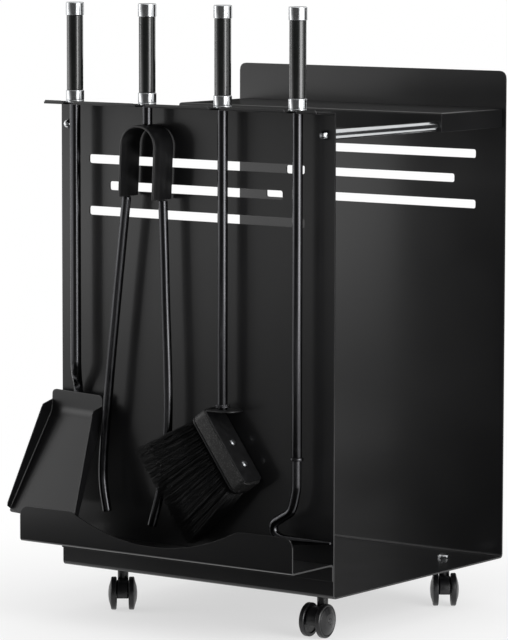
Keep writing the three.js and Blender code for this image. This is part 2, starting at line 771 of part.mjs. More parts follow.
/** The bracket: a round-ended tab under the shaft, folded back along the block's top face. */
function brushBracket(fold) {
  const slope = radians(blockSlope);
  const leg = vec(Math.cos(slope), 0, -Math.sin(slope)).multiplyScalar(bracketLegLength);
  const section = sheetSection([
    [fold.x + tabLength, fold.z], [fold.x, fold.z], [fold.x + leg.x, fold.z + leg.z],
  ], bracketBend, bracketSheet, 5);
  const strip = plate(section, bracketWidth, vec(0, 0), X, Z);
  const r = bracketWidth / 2;
  const roundEnd = new THREE.Shape();
  roundEnd.moveTo(fold.x - 20, -r);
  roundEnd.lineTo(fold.x + tabLength - r, -r);
  roundEnd.absarc(fold.x + tabLength - r, 0, r, -Math.PI / 2, Math.PI / 2);
  roundEnd.lineTo(fold.x - 20, r);
  roundEnd.closePath();
  const tabShape = prismZ(roundEnd, fold.z - bracketSheet, fold.z + bracketSheet);
  const reach = 2 * bracketLegLength;
  const legShape = prismZ(box(-reach, reach, -r, r), fold.z - reach, fold.z - bracketSheet);
  return strip.intersect(tabShape.add(legShape));
}

function addBrush(parent) {
  const group = toolFrame(parent, 2, brushStandOff, brushShift);
  addHandle(group, 'brush');
  const tabTop = -tabDrop;
  piece(group, 'brush_shaft', shaft(tabDrop - seatGap, bracketSheet + 3), 'steel');
  const b = bore(shaftDiameter) / 2;
  const rim = collarDiameter / 2;
  piece(group, 'brush_collar', turned([
    [b, 0], [rim, 0], [rim, collarHeight], [b, collarHeight],
  ]), 'steel').position.z = tabTop + collarRise;

  // The block's frame: local X along its length, local Z out of the face that carries the bracket
  const head = placed(group, vec(blockCentre[0], 0, blockCentre[1]), [0, blockSlope, 0]);
  head.updateMatrix();
  const toTool = head.matrix;
  const blockTop = blockThickness / 2;
  const faceLine = vec(0, 0, blockTop + seatGap + bracketSheet / 2).applyMatrix4(toTool);
  const foldZ = tabTop - bracketSheet / 2;
  const fold = vec(faceLine.x - (foldZ - faceLine.z) / Math.tan(radians(blockSlope)), 0, foldZ);
  const toHead = toTool.clone().invert();
  const rivetHoles = brushRivetPlaces.map((x) =>
    pin(vec(x, 0, -blockThickness), vec(x, 0, blockThickness), bore(rivetDiameter)));
  const tenonHole = pin(vec(0, 0, tabTop - 10), vec(0, 0, tabTop + 10), bore(tenonDiameter));
  const bracket = cut(brushBracket(fold), tenonHole).transform(toHead.elements);
  piece(head, 'brush_bracket', cut(bracket, ...rivetHoles), 'steel');
  const block = prismZ(blockOutline(), -blockTop, blockTop);
  piece(head, 'brush_block', cut(block, ...rivetHoles), 'blockPlastic');
  const grip = blockThickness / 2 + bracketSheet + 2 * seatGap;
  ['upper', 'lower'].forEach((name, i) => {
    const r = rivetHeadDiameter / 2;
    const stud = turned([
      [0, 0], [rivetDiameter / 2, 0], [rivetDiameter / 2, grip], [r, grip],
      [r, grip + 0.5], [r * 0.7, grip + rivetHeadHeight * 0.8], [0, grip + rivetHeadHeight],
    ], 14);
    piece(head, `brush_rivet_${name}`, stud, 'chrome').position.x = brushRivetPlaces[i];
  });

  // The tongs' right rod hangs behind the bristles, whose back slants past it
  const slant = radians(partingAngle);
  const keepOff = tongsRodDiameter / 2 + rodClearance;
  const pivotX = rodReach - toolPitch - brushShift + keepOff * Math.sin(slant);
  const pivotY = brushStandOff - toolStandOff - keepOff * Math.cos(slant);
  const far = 2 * toolPitch;
  const backAt = (x) => [x, pivotY + (x - pivotX) * Math.tan(slant)];
  const behind = roundedOutline([backAt(-far), backAt(far), [far, far], [-far, far]], 0);
  const parting = prismZ(behind, -tabDrop - 2 * bristleLength, -tabDrop);
  const sliceTop = -blockTop - seatGap - bristleSlice;
  const toSlice = toTool.clone().multiply(new THREE.Matrix4().makeTranslation(0, 0, sliceTop)).invert();
  const body = cut(bristles(), parting.transform(toSlice.elements));
  piece(head, 'brush_bristles', body, 'bristle').position.z = sliceTop;
}

// ---------------------------------------------------------------- poker

function addPoker(parent) {
  const group = toolFrame(parent, 3, toolStandOff);
  addHandle(group, 'poker');
  piece(group, 'poker_shaft', shaft(pokerRodDrop - seatGap, pokerTenon), 'steel');
  const inTool = ([x, z]) => vec(x, 0, z - pokerRodDrop);
  const start = inTool([0, 0]);
  const bends = pokerBends.map(inTool);
  const curve = new THREE.CatmullRomCurve3([start.clone().setZ(bends[0].z + 8), ...bends]);
  const straight = pin(start, bends[0], pokerRodDiameter);
  const collar = pin(start, inTool([0, -pokerCollarHeight]), pokerCollarDiameter);
  const tip = pin(bends.at(-1), inTool(pokerTip), pokerRodDiameter, pokerTipDiameter);
  const tenonBore = pin(inTool([0, -pokerTenon - seatGap]), vec(0, 0, 0), bore(tenonDiameter));
  const hook = join(straight, collar, bar(curve.getPoints(22), pokerRodDiameter, 12), tip);
  piece(group, 'poker_hook', hook.subtract(tenonBore), 'steel');
}

// ---------------------------------------------------------------- assembly

const cart = new THREE.Group();
const model = placed(cart, vec(0, 0));

piece(model, 'cart_body', cartBody(), 'powderCoat');
piece(model, 'tool_tray', toolTray(), 'powderCoat');
piece(model, 'shelf', shelfBody(), 'powderCoat');
[['left', -1], ['right', 1]].forEach(([name, side]) => {
  piece(model, `spacer_rod_${name}`, spacerRod(side * rodX), 'chrome');
  const capNut = domedNut(capNutDiameter, capNutLength, studDiameter);
  const nut = piece(model, `rod_cap_nut_${name}`, capNut, 'chrome');
  nut.position.set(side * rodX, -seatGap, rodHeight);
  nut.rotation.x = Math.PI / 2;
  const grip = sheet + shelfSheet + 3 * seatGap;
  const mushroom = rivet(rivetDiameter, rivetHeadDiameter, rivetHeadHeight, grip);
  const shelfRivet = piece(model, `shelf_rivet_${name}`, mushroom, 'steel');
  shelfRivet.position.set((side * shelfRivetSpacing) / 2, bodyDepth + seatGap, shelfRivetHeight);
  shelfRivet.rotation.x = Math.PI / 2;
});
casterPlaces.forEach((place) => addCaster(model, place));
addShovel(model);
addTongs(model);
addBrush(model);
addPoker(model);

// The origin stands on the ground, under the middle of the whole cart
const extent = new THREE.Box3().setFromObject(cart, true);
const middle = extent.getCenter(vec(0, 0));
model.position.set(-middle.x, -middle.y, -extent.min.z);

export default cart;
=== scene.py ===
# %% [markdown]
# # A fireside log cart
#
# The object is a trough bent from one sheet of steel. It stands on four twin-wheel casters, it has
# a small shelf across its top and a tray along one side, and a shovel, tongs, a brush and a poker
# hang in the slots of its rack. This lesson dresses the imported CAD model, which is the fixed frame:
# every piece made here takes its place from the frame and moves with one of its bodies.
#
# Lengths are worked out in millimetres from one corner of the trough, because that is how the sheet
# metal and the bars are drawn. One function turns them into Blender's metres at the very end.

import bmesh
import bpy
import numpy as np
from mathutils import Matrix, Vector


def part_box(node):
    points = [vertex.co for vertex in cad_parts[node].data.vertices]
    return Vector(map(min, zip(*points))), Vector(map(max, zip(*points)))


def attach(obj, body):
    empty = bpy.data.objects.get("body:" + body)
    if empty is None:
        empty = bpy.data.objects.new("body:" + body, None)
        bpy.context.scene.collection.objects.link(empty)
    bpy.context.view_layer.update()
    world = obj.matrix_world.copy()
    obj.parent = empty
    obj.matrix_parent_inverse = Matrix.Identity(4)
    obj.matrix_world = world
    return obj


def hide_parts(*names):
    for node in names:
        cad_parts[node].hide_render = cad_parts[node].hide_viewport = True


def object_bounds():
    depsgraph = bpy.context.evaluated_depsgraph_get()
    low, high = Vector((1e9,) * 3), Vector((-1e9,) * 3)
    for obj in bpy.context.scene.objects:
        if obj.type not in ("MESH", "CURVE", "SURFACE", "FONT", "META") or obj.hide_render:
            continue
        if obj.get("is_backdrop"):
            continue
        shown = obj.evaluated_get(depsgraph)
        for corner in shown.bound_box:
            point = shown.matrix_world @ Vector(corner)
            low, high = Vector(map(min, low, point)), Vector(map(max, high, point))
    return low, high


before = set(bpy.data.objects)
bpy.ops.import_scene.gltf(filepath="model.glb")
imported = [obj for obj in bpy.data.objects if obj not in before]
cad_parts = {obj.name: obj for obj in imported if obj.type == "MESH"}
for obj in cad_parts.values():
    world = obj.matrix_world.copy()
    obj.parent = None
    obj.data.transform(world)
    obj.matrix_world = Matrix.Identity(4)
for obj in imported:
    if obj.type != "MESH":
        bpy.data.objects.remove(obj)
cad_box = [list(corner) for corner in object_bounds()]
print("CAD box in metres:", cad_box)

# %% [markdown]
# ## Where the cart's own zero is
#
# The frame stands on the ground with its zero under the middle of the whole cart. The drawing of
# the trough starts elsewhere: X from the middle of its walls, Y from the outer face of the wall
# that the tools hang on, and Z from the underside of its floor. The trough's own box gives the step
# from one to the other, so no number has to be typed twice.

# %% The step from the drawing to the frame
TROUGH_DEPTH = 359.0
SHEET, SEAT_GAP = 2.0, 0.3  # the trough's sheet, and the gap between fitted pieces


def box_mm(node):
    """Both corners of a CAD node's box in the drawing: less the cart's zero, times 1000."""
    return [(np.array(corner) - cart_zero) * 1000 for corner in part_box(node)]


trough_low, trough_high = (np.array(corner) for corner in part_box("cart_body"))
cart_zero = np.array([
    (trough_low[0] + trough_high[0]) / 2, trough_high[1] - TROUGH_DEPTH / 1000, trough_low[2],
])
print("cart's zero in the frame:", cart_zero.round(5))

# %% [markdown]
# ## The camera
#
# The photograph was taken with a long lens, from in front and to the right, a little above the
# rack. A lens this long keeps the walls' edges nearly parallel. The place and the three angles come
# from fitting a pinhole camera to the trough's edges, so they are typed as they were fitted.

# %% The camera at the photograph's viewing angle
CAMERA_PLACE = (2708.61, -3556.15, 795.31)
CAMERA_YAW, CAMERA_PITCH, CAMERA_ROLL = np.radians([36.406, 6.189, 0.096])

forward = np.array([
    -np.sin(CAMERA_YAW) * np.cos(CAMERA_PITCH),
    np.cos(CAMERA_YAW) * np.cos(CAMERA_PITCH),
    -np.sin(CAMERA_PITCH),
])
level_right = np.array([np.cos(CAMERA_YAW), np.sin(CAMERA_YAW), 0.0])
level_up = np.cross(level_right, forward)
right = np.cos(CAMERA_ROLL) * level_right + np.sin(CAMERA_ROLL) * level_up
up = np.cross(right, forward)

camera_matrix = np.eye(4)
camera_matrix[:3, :3] = np.stack([right, up, -forward], axis=1)
camera_matrix[:3, 3] = np.array(CAMERA_PLACE) / 1000 + cart_zero
camera = bpy.data.objects.new("camera", bpy.data.cameras.new("camera"))
camera.data.lens = 216.0
camera.data.sensor_fit = "AUTO"
camera.data.sensor_width = 36.0
camera.data.clip_end = 200.0
camera.matrix_world = Matrix(camera_matrix.tolist())
bpy.context.scene.collection.objects.link(camera)
bpy.context.scene.camera = camera
bpy.context.scene.view_settings.view_transform = "Standard"
print("camera at", camera_matrix[:3, 3].round(3))

# %% [markdown]
# ## Nodes and colours
#
# Every finish below is a small tree of shader nodes. One helper turns a colour written as on a
# screen into the linear numbers that Blender mixes, and one adds a node and wires its inputs: an
# input is either a plain value or the output of another node. Most finishes then have the same
# plan, in which a pattern of its own drives each of the colour, the roughness and the relief.

# %% Colour and node helpers


def colour(code):
    """sRGB hex to linear RGBA: ((c + 0.055) / 1.055) ** 2.4 above 0.04045, and c / 12.92 below."""
    c = np.array([int(code[i : i + 2], 16) for i in (1, 3, 5)]) / 255
    linear = np.where(c <= 0.04045, c / 12.92, ((c + 0.055) / 1.055) ** 2.4)
    return (*linear.tolist(), 1.0)


def add_node(tree, kind, inputs=None, **settings):
    """One node of a tree, with its settings, and its inputs set or linked by name or number."""
    made = tree.nodes.new(kind)
    for name, value in settings.items():
        setattr(made, name, value)
    for socket, value in (inputs or {}).items():
        if isinstance(value, bpy.types.NodeSocket):
            tree.links.new(value, made.inputs[socket])
        else:
            made.inputs[socket].default_value = value
    return made


def new_material(name):
    """A material with a Principled shader, and that shader and its tree."""
    material = bpy.data.materials.new(name)
    material.use_nodes = True
    tree = material.node_tree
    return material, tree, tree.nodes["Principled BSDF"]


def set_values(shader, **values):
    """Writes plain values on a shader's own sockets, with _ for the spaces in their names."""
    for name, value in values.items():
        shader.inputs[name.replace("_", " ")].default_value = value


NOISE_LOW, NOISE_HIGH = 0.3, 0.7  # most of a noise's values lie between these
FINISHES = {}


def pattern(tree, size_mm, stretch=(1, 1, 1), detail=2.0):
    """Noise on Object coordinates with lumps about size_mm wide, longer where stretch is small."""
    place = add_node(tree, "ShaderNodeTexCoord").outputs["Object"]
    scaled = add_node(tree, "ShaderNodeMapping", {"Vector": place, "Scale": stretch}).outputs[0]
    inputs = {"Vector": scaled, "Scale": 1000 / size_mm, "Detail": detail}
    return add_node(tree, "ShaderNodeTexNoise", inputs).outputs["Fac"]


def colour_by(tree, shader, value, first, second, start=NOISE_LOW, end=NOISE_HIGH):
    """The base colour turns from the first to the second as a value goes from start to end."""
    share = add_node(
        tree, "ShaderNodeMapRange", {"Value": value, "From Min": start, "From Max": end},
    ).outputs["Result"]
    mixed = add_node(
        tree, "ShaderNodeMix", {"Factor": share, 6: colour(first), 7: colour(second)},
        data_type="RGBA",
    )
    tree.links.new(mixed.outputs[2], shader.inputs["Base Color"])


def finish(name, values, colours=None, roughness=None, relief=None):
    """A finish, kept under its slot's name. colours is two colours and a pattern, roughness two
    values and a pattern, and relief a depth in mm and a pattern."""
    material, tree, shader = new_material(name)
    set_values(shader, **values)
    if colours:
        colour_by(tree, shader, pattern(tree, **colours[2]), *colours[:2])
    if roughness:
        low, high, grain = roughness
        rough = add_node(tree, "ShaderNodeMapRange", {
            "Value": pattern(tree, **grain), "From Min": NOISE_LOW, "From Max": NOISE_HIGH,
            "To Min": low, "To Max": high,
        })
        tree.links.new(rough.outputs["Result"], shader.inputs["Roughness"])
    if relief:
        depth_mm, grain = relief
        raised = add_node(tree, "ShaderNodeBump", {
            "Height": pattern(tree, **grain), "Distance": depth_mm / 1000, "Strength": 1.0,
        })
        tree.links.new(raised.outputs["Normal"], shader.inputs["Normal"])
    FINISHES[name] = material
    print(name, "has", len(tree.nodes), "nodes")
    return tree, shader


print("a mid grey, #808080, is", round(colour("#808080")[0], 3), "in linear light")

# %% [markdown]
# ## Powder coat
#
# The trough, tray, shelf and shovel pan are steel sheet with a baked black powder coat. Up close
# such a coat is a very dark satin film with a faint orange peel: shallow lumps a millimetre or two
# apart. A flat black with one roughness would look like plastic. Here a fine noise gives the peel
# as bump, a broad one drifts the gloss, as a sprayed coat does, and the colour itself stays almost
# black, because all that the eye sees on it is the soft reflection of the room.

# %% The powder coat
finish(
    "powder_coat",
    dict(Metallic=0.0, Specular_IOR_Level=0.35, Coat_Weight=0.45, Coat_Roughness=0.16),
    colours=("#0b0b0c", "#0f0f10", dict(size_mm=60, detail=3.0)),
    roughness=(0.30, 0.34, dict(size_mm=80, detail=1.0)),
    relief=(0.008, dict(size_mm=1.6)),
)

# %% [markdown]
# ## Bright chrome
#
# The handles' ferrules and caps, the two rods and the nuts are chrome plated. Plating follows the
# lathe's fine rings, so the roughness and a very shallow bump change quickly up the piece and
# hardly at all around it. On Object coordinates that is a noise squeezed along Z.

# %% The chrome
rings = dict(size_mm=8, stretch=(0.6, 0.6, 14), detail=3.0)
finish(
    "chrome", dict(Base_Color=colour("#cfd1d3"), Metallic=1.0),
    roughness=(0.14, 0.20, rings), relief=(0.002, rings),
)

# %% [markdown]
# ## Polished black steel
#
# The shafts, the tongs' rods and the poker have a black nickel plate over polished bar. It is a
# real metal, dark but with sharp lights along it, so it is metallic with a dark colour, not a black
# plastic. Drawn bar keeps faint lines along its length, which run down Z on the hanging tools.

# %% The black plate
lines = dict(size_mm=3, stretch=(1, 1, 0.04))
finish(
    "polished_black_steel", dict(Metallic=1.0), colours=("#3f3f41", "#4a4a4c", lines),
    roughness=(0.16, 0.24, dict(size_mm=12)), relief=(0.006, lines),
)

# %% [markdown]
# ## Satin black steel
#
# The tongs' spring strap and the brush's bracket are flat strip, blackened and left satin. The
# grain of rolled strip shows as soft streaks, and handling leaves the gloss uneven.

# %% The satin strip
streaks = dict(size_mm=5, stretch=(1, 1, 0.1), detail=3.0)
finish(
    "satin_black_steel", dict(Metallic=0.0, Specular_IOR_Level=0.5),
    colours=("#0e0e0f", "#171718", streaks),
    roughness=(0.34, 0.44, streaks), relief=(0.006, dict(size_mm=0.8)),
)

# %% [markdown]
# ## Zinc plate
#
# Stems, axles and the shelf's rivets are zinc plated, a dull bluish grey with cloudy patches.

# %% The zinc plate
clouds = dict(size_mm=4, detail=4.0)
finish(
    "zinc_steel", dict(Metallic=1.0),
    colours=("#8f9194", "#a9abad", clouds), roughness=(0.28, 0.42, clouds),
)

# %% [markdown]
# ## Grip lacquer
#
# The grips are tube with a smooth black lacquer. A thin clear coat over a softer base gives the two
# things the eye looks for: a crisp edge to the light and a wider glow around it.

# %% The grip lacquer
finish(
    "grip_lacquer",
    dict(Metallic=0.0, Specular_IOR_Level=0.5, Coat_Weight=0.6, Coat_Roughness=0.08),
    colours=("#0b0d0c", "#101211", dict(size_mm=25)),
    roughness=(0.22, 0.28, dict(size_mm=14)), relief=(0.003, dict(size_mm=3.0, detail=1.0)),
)

# %% [markdown]
# ## Moulded nylon
#
# The casters are injection moulded. The tool's surface leaves a fine even grain, the gloss varies in
# small patches, and the black is not quite neutral.

# %% The caster nylon
finish(
    "caster_plastic", dict(Metallic=0.0, Specular_IOR_Level=0.5),
    colours=("#0c0c0e", "#141416", dict(size_mm=9)),
    roughness=(0.28, 0.42, dict(size_mm=5)), relief=(0.008, dict(size_mm=0.4, detail=1.0)),
)

# %% [markdown]
# ## Speckled block
#
# The brush's block is a dense moulded body, dark grey with a pale speckle. The specks are about a
# millimetre wide and sit in the surface, so a Voronoi pattern with a hard edge picks a few of its
# cells for the pale colour, and a second noise roughens what is between them.

# %% The speckled block
SPECK_MM = 1.0
tree, shader = finish(
    "block_plastic", dict(Metallic=0.0, Specular_IOR_Level=0.4),
    roughness=(0.42, 0.6, dict(size_mm=3)), relief=(0.015, dict(size_mm=0.9)),
)
place = add_node(tree, "ShaderNodeTexCoord").outputs["Object"]
cells = add_node(tree, "ShaderNodeTexVoronoi", {"Vector": place, "Scale": 1000 / SPECK_MM})
colour_by(tree, shader, cells.outputs["Color"], "#131313", "#3c3b3b", start=0.62, end=0.9)

# %% [markdown]
# ## Bristle fibre
#
# Black nylon filament. Each strand is a thin gloss cylinder, so the mass of them glints in streaks.
# The colour drifts from strand to strand, which a small noise across the field gives.

# %% The bristle fibre
finish(
    "bristle_fibre", dict(Metallic=0.0, Specular_IOR_Level=0.3),
    colours=("#040405", "#0b0b0c", dict(size_mm=2)), roughness=(0.3, 0.5, dict(size_mm=4)),
)

# %% [markdown]
# ## Surfaces from arrays
#
# Nearly every piece is one of three kinds: a profile turned about an axis, a section carried along
# a path, or a bent strip of sheet. All three are a grid of points with a row for each station and a
# column for each step round or across. So one function makes the faces of a grid, one puts grids
# into a mesh, and the shapes themselves are only formulas.
#
# Rows that shrink to a point close a piece's ends. Merging equal points then turns them into proper
# poles, and the same step sews the seam where a section comes back to its start.

# %% From grids to a piece


def grid_faces(rows, columns, closed):
    """Quads of a grid: corner (r, c), (r, c+1), (r+1, c+1), (r+1, c), where c+1 wraps if closed."""
    r = np.arange(rows - 1)[:, None]
    c = np.arange(columns if closed else columns - 1)[None, :]
    a, b = r * columns + c, r * columns + (c + 1) % columns
    return np.stack([a, b, b + columns, a + columns], axis=-1).reshape(-1, 4)


def as_surface(points, closed=True):
    """A grid of points (rows, columns, 3) as its flat list of points and its faces."""
    rows, columns = points.shape[:2]
    return points.reshape(-1, 3), grid_faces(rows, columns, closed)


MERGE_DISTANCE = 2e-6  # metres


def make_mesh(name, surfaces, solid=True, smooth_below=35):
    """One mesh of several surfaces: mm to metres, equal points merged, faces outward."""
    starts = np.cumsum([0] + [len(points) for points, _ in surfaces[:-1]])
    points = np.vstack([points for points, _ in surfaces]) / 1000 + cart_zero
    faces = np.vstack([faces + start for (_, faces), start in zip(surfaces, starts)])
    mesh = bpy.data.meshes.new(name)
    mesh.from_pydata(points.tolist(), [], faces.tolist())
    work = bmesh.new()
    work.from_mesh(mesh)
    bmesh.ops.remove_doubles(work, verts=work.verts, dist=MERGE_DISTANCE)
    bmesh.ops.dissolve_degenerate(work, edges=work.edges, dist=1e-7)
    if solid:
        bmesh.ops.recalc_face_normals(work, faces=work.faces)
    work.to_mesh(mesh)
    work.free()
    mesh.shade_smooth()
    mesh.set_sharp_from_angle(angle=np.radians(smooth_below))
    return mesh


def add_piece(name, mesh, body, nodes, slot):
    """The mesh as a piece in the scene: its finish, the body it rides on, the nodes it is for."""
    piece = bpy.data.objects.new(name, mesh)
    bpy.context.scene.collection.objects.link(piece)
    mesh.materials.clear()
    mesh.materials.append(FINISHES[slot])
    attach(piece, body)
    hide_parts(*nodes)
    return piece


def make_piece(name, grids, body, node, slot, closed=True, **mesh_settings):
    """Grids of points as one piece."""
    mesh = make_mesh(name, [as_surface(grid, closed) for grid in grids], **mesh_settings)
    return add_piece(name, mesh, body, [node], slot)


def give_thickness(piece, sheet_mm, rim_mm):
    """A thickness about the surface's middle, a fine round on its rim, and normals kept flat."""
    thickness = piece.modifiers.new("thickness", "SOLIDIFY")
    thickness.thickness, thickness.offset = sheet_mm / 1000, 0.0
    rim = piece.modifiers.new("rim", "BEVEL")
    rim.width, rim.segments, rim.angle_limit = rim_mm / 1000, 2, np.radians(50)
    rim.use_clamp_overlap = False
    piece.modifiers.new("flats", "WEIGHTED_NORMAL")


def running_length(path):
    """The distance along a line of points from its start to each of them."""
    return np.concatenate([[0], np.cumsum(np.linalg.norm(np.diff(path, axis=0), axis=1))])


def directions(path):
    """The unit direction of a line of points at each of them."""
    along = np.gradient(path, axis=0)
    return along / np.linalg.norm(along, axis=1, keepdims=True)


def upright(flat):
    """A line of [x, z] points stood up in the drawing's XZ plane."""
    return np.stack([flat[:, 0], 0 * flat[:, 0], flat[:, 1]], axis=1)


def round_grid(r, z, a):
    """A grid about Z: x = r cos a, y = r sin a, z, with r and z by row and a by column."""
    r, z = np.broadcast_arrays(r + 0 * a, z)
    return np.stack([r * np.cos(a), r * np.sin(a), z], axis=-1)


def softened(points, reach, steps=4):
    """Rounds the inner corners of a line of points. From reach before a corner to reach past it the
    line is (1-t)^2 start + 2t(1-t) corner + t^2 end, for t from 0 to 1."""
    p = np.asarray(points, float)
    corner, back, ahead = p[1:-1], p[:-2] - p[1:-1], p[2:] - p[1:-1]
    back_run = np.linalg.norm(back, axis=1, keepdims=True)
    ahead_run = np.linalg.norm(ahead, axis=1, keepdims=True)
    reach = np.broadcast_to(np.asarray(reach, float), len(corner))[:, None]
    start = corner + back / back_run * np.minimum(reach, back_run * 0.49)
    end = corner + ahead / ahead_run * np.minimum(reach, ahead_run * 0.49)
    t = np.linspace(0, 1, steps + 1)[None, :, None]
    arcs = (1 - t) ** 2 * start[:, None] + 2 * t * (1 - t) * corner[:, None] + t**2 * end[:, None]
    return np.vstack([p[:1], arcs.reshape(-1, p.shape[1]), p[-1:]])


def turned(profile, sides=64):
    """A profile of [radius, height] turned about Z."""
    r, z = np.asarray(profile, float).T[:, :, None]
    return round_grid(r, z, np.linspace(0, 2 * np.pi, sides, endpoint=False)[None, :])


def rotation(about_x=0.0, about_y=0.0, about_z=0.0):
    """The matrix of three turns in degrees, Rx Ry Rz."""
    (cx, sx), (cy, sy), (cz, sz) = (
        (np.cos(angle), np.sin(angle)) for angle in np.radians([about_x, about_y, about_z])
    )
    turn_x = np.array([[1, 0, 0], [0, cx, -sx], [0, sx, cx]])
    turn_y = np.array([[cy, 0, sy], [0, 1, 0], [-sy, 0, cy]])
    turn_z = np.array([[cz, -sz, 0], [sz, cz, 0], [0, 0, 1]])
    return turn_x @ turn_y @ turn_z


def moved(points, origin, turn=None):
    """Points p carried to origin + turn p."""
    return (points if turn is None else points @ turn.T) + np.asarray(origin, float)


test = turned(softened([[0, 0], [5, 0], [5, 9], [0, 9]], 0.5))
print("a test pin is a grid of", test.shape[:2], "points")

# %% [markdown]
# ## Bars along a path
#
# A bar is a round section carried along a path. At each point of the path the section stands across
# the path's direction. The paths here all lie in one plane, so the plane's own normal is one axis
# of the section and its cross product with the direction is the other, and nothing twists. The
# section is an ellipse whose two half-widths may change along the way, which also makes flattened
# ends.

# %% Bars


def bar(path, half_across, half_in_plane, normal, sides=32, squareness=2.0):
    """A closed bar: path + a |cos|^k n + b |sin|^k (t x n), with k = 2 / squareness and the signs
    of cos and sin kept, where t is the path's direction and n the plane's normal."""
    path = np.asarray(path, float)
    n = np.asarray(normal, float) / np.linalg.norm(normal)
    side = np.cross(directions(path), n)
    a = np.linspace(0, 2 * np.pi, sides, endpoint=False)
    k = 2 / squareness
    across = (np.sign(np.cos(a)) * np.abs(np.cos(a)) ** k)[None, :, None]
    in_plane = (np.sign(np.sin(a)) * np.abs(np.sin(a)) ** k)[None, :, None]
    wide = np.broadcast_to(half_across, len(path))[:, None, None]
    deep = np.broadcast_to(half_in_plane, len(path))[:, None, None]
    rings = path[:, None] + wide * across * n + deep * in_plane * side[:, None]
    first, last = (end[:, None].repeat(sides, 1) for end in (path[:1], path[-1:]))
    return np.concatenate([first, rings, last])


def evenly(path, step):
    """Points a fixed step apart along a line of points, by its running length."""
    path = np.asarray(path, float)
    run = running_length(path)
    stations = np.linspace(0, run[-1], max(2, int(np.ceil(run[-1] / step)) + 1))
    return np.stack([np.interp(stations, run, column) for column in path.T], axis=1)


def with_round_ends(path, radius, rounding=1.2, steps=4):
    """The path and radius of a bar whose ends are rounded: at rounding (1 - cos a) from an end the
    radius is less by rounding (1 - sin a), for a from 0 to 90 degrees."""
    a = np.linspace(0, np.pi / 2, steps + 1)
    inset, less = rounding * (1 - np.cos(a)), rounding * (1 - np.sin(a))
    run = running_length(path)
    middle = run[(run > rounding * 1.5) & (run < run[-1] - rounding * 1.5)]
    stations = np.concatenate([inset, middle, (run[-1] - inset)[::-1]])
    radius = np.interp(stations, run, np.broadcast_to(radius, len(run)))
    ends = np.concatenate([less, np.zeros(len(middle)), less[::-1]])
    return np.stack([np.interp(stations, run, c) for c in path.T], axis=1), radius - ends


def smooth_path(points, steps=14):
    """A centripetal Catmull-Rom curve through points, the curve that bends the CAD's own bars.
    Knots are the square roots of the gaps, and each piece is a cubic with those knots' slopes."""
    p = np.asarray(points, float)
    p = np.vstack([2 * p[0] - p[1], p, 2 * p[-1] - p[-2]])
    gap = np.linalg.norm(np.diff(p, axis=0), axis=1)[:, None] ** 0.5
    g0, g1, g2 = gap[:-2], gap[1:-1], gap[2:]
    a, b, c, d = p[:-3], p[1:-2], p[2:-1], p[3:]
    slope_b = ((b - a) / g0 - (c - a) / (g0 + g1) + (c - b) / g1) * g1
    slope_c = ((c - b) / g1 - (d - b) / (g1 + g2) + (d - c) / g2) * g1
    t = np.linspace(0, 1, steps, endpoint=False)[None, :, None]
    b, c, slope_b, slope_c = (x[:, None] for x in (b, c, slope_b, slope_c))
    curve = (
        b * (2 * t**3 - 3 * t**2 + 1) + c * (3 * t**2 - 2 * t**3)
        + slope_b * (t**3 - 2 * t**2 + t) + slope_c * (t**3 - t**2)
    )
    return np.vstack([curve.reshape(-1, p.shape[1]), p[-2:-1]])


test_path, test_radius = with_round_ends(evenly([[0, 0, 0], [0, 0, 50]], 5), 6.0)
test = bar(test_path, test_radius, test_radius, (0, 1, 0))
print("a round-ended bar is a grid of", test.shape[:2], "points")

# %% [markdown]
# ## Bent sheet
#
# The trough, tray and shelf are sheet with holes and folds in it, and the CAD solids already have
# that shape to the last hole. What they lack is the edge: real sheet has a small radius at every
# cut and fold, and that radius is what catches the light as a thin line. So each of these pieces is
# a copy of its node, merged from loose triangles into whole faces, with a fine Bevel on its sharp
# edges and normals weighted by face area, which keep the flats flat.

# %% Copies of the folded sheets
FLAT_WITHIN, SHARP_ABOVE = 1.0, 40  # degrees between two faces


def edged_copy(node, body, slot, edge_mm=0.2):
    """A merged copy of a CAD node with rounded edges, which then stands for the node."""
    name = f"{node}_sheet"
    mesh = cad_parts[node].data.copy()
    mesh.name = name
    work = bmesh.new()
    work.from_mesh(mesh)
    bmesh.ops.remove_doubles(work, verts=work.verts, dist=MERGE_DISTANCE)
    bmesh.ops.dissolve_limit(
        work, angle_limit=np.radians(FLAT_WITHIN), verts=work.verts, edges=work.edges,
    )
    work.to_mesh(mesh)
    work.free()
    mesh.shade_smooth()
    piece = add_piece(name, mesh, body, [node], slot)
    edge = piece.modifiers.new("edge", "BEVEL")
    edge.width = edge_mm / 1000
    edge.segments = 2
    edge.limit_method = "ANGLE"
    edge.angle_limit = np.radians(SHARP_ABOVE)
    edge.use_clamp_overlap = False
    flats = piece.modifiers.new("flats", "WEIGHTED_NORMAL")
    flats.keep_sharp = True
    return piece


for node in ("cart_body", "tool_tray", "shelf"):
    sheet_piece = edged_copy(node, "chassis", "powder_coat")
    print(sheet_piece.name, len(sheet_piece.data.polygons), "faces")

# %% [markdown]
# ## Rods, nuts and rivets
#
# Two chrome rods hold the shelf off the near wall. Each ends in a thin stud: one goes through the
# wall into a domed nut, and the other is peened over behind the shelf's front. All of these are
# turned pieces, so each is one profile. The CAD boxes give the length of every step.

# %% Rods across the trough


def lying(points):
    """Turned points laid down: their Z axis becomes the drawing's Y axis."""
    return np.stack([points[..., 0], points[..., 2], -points[..., 1]], axis=-1)


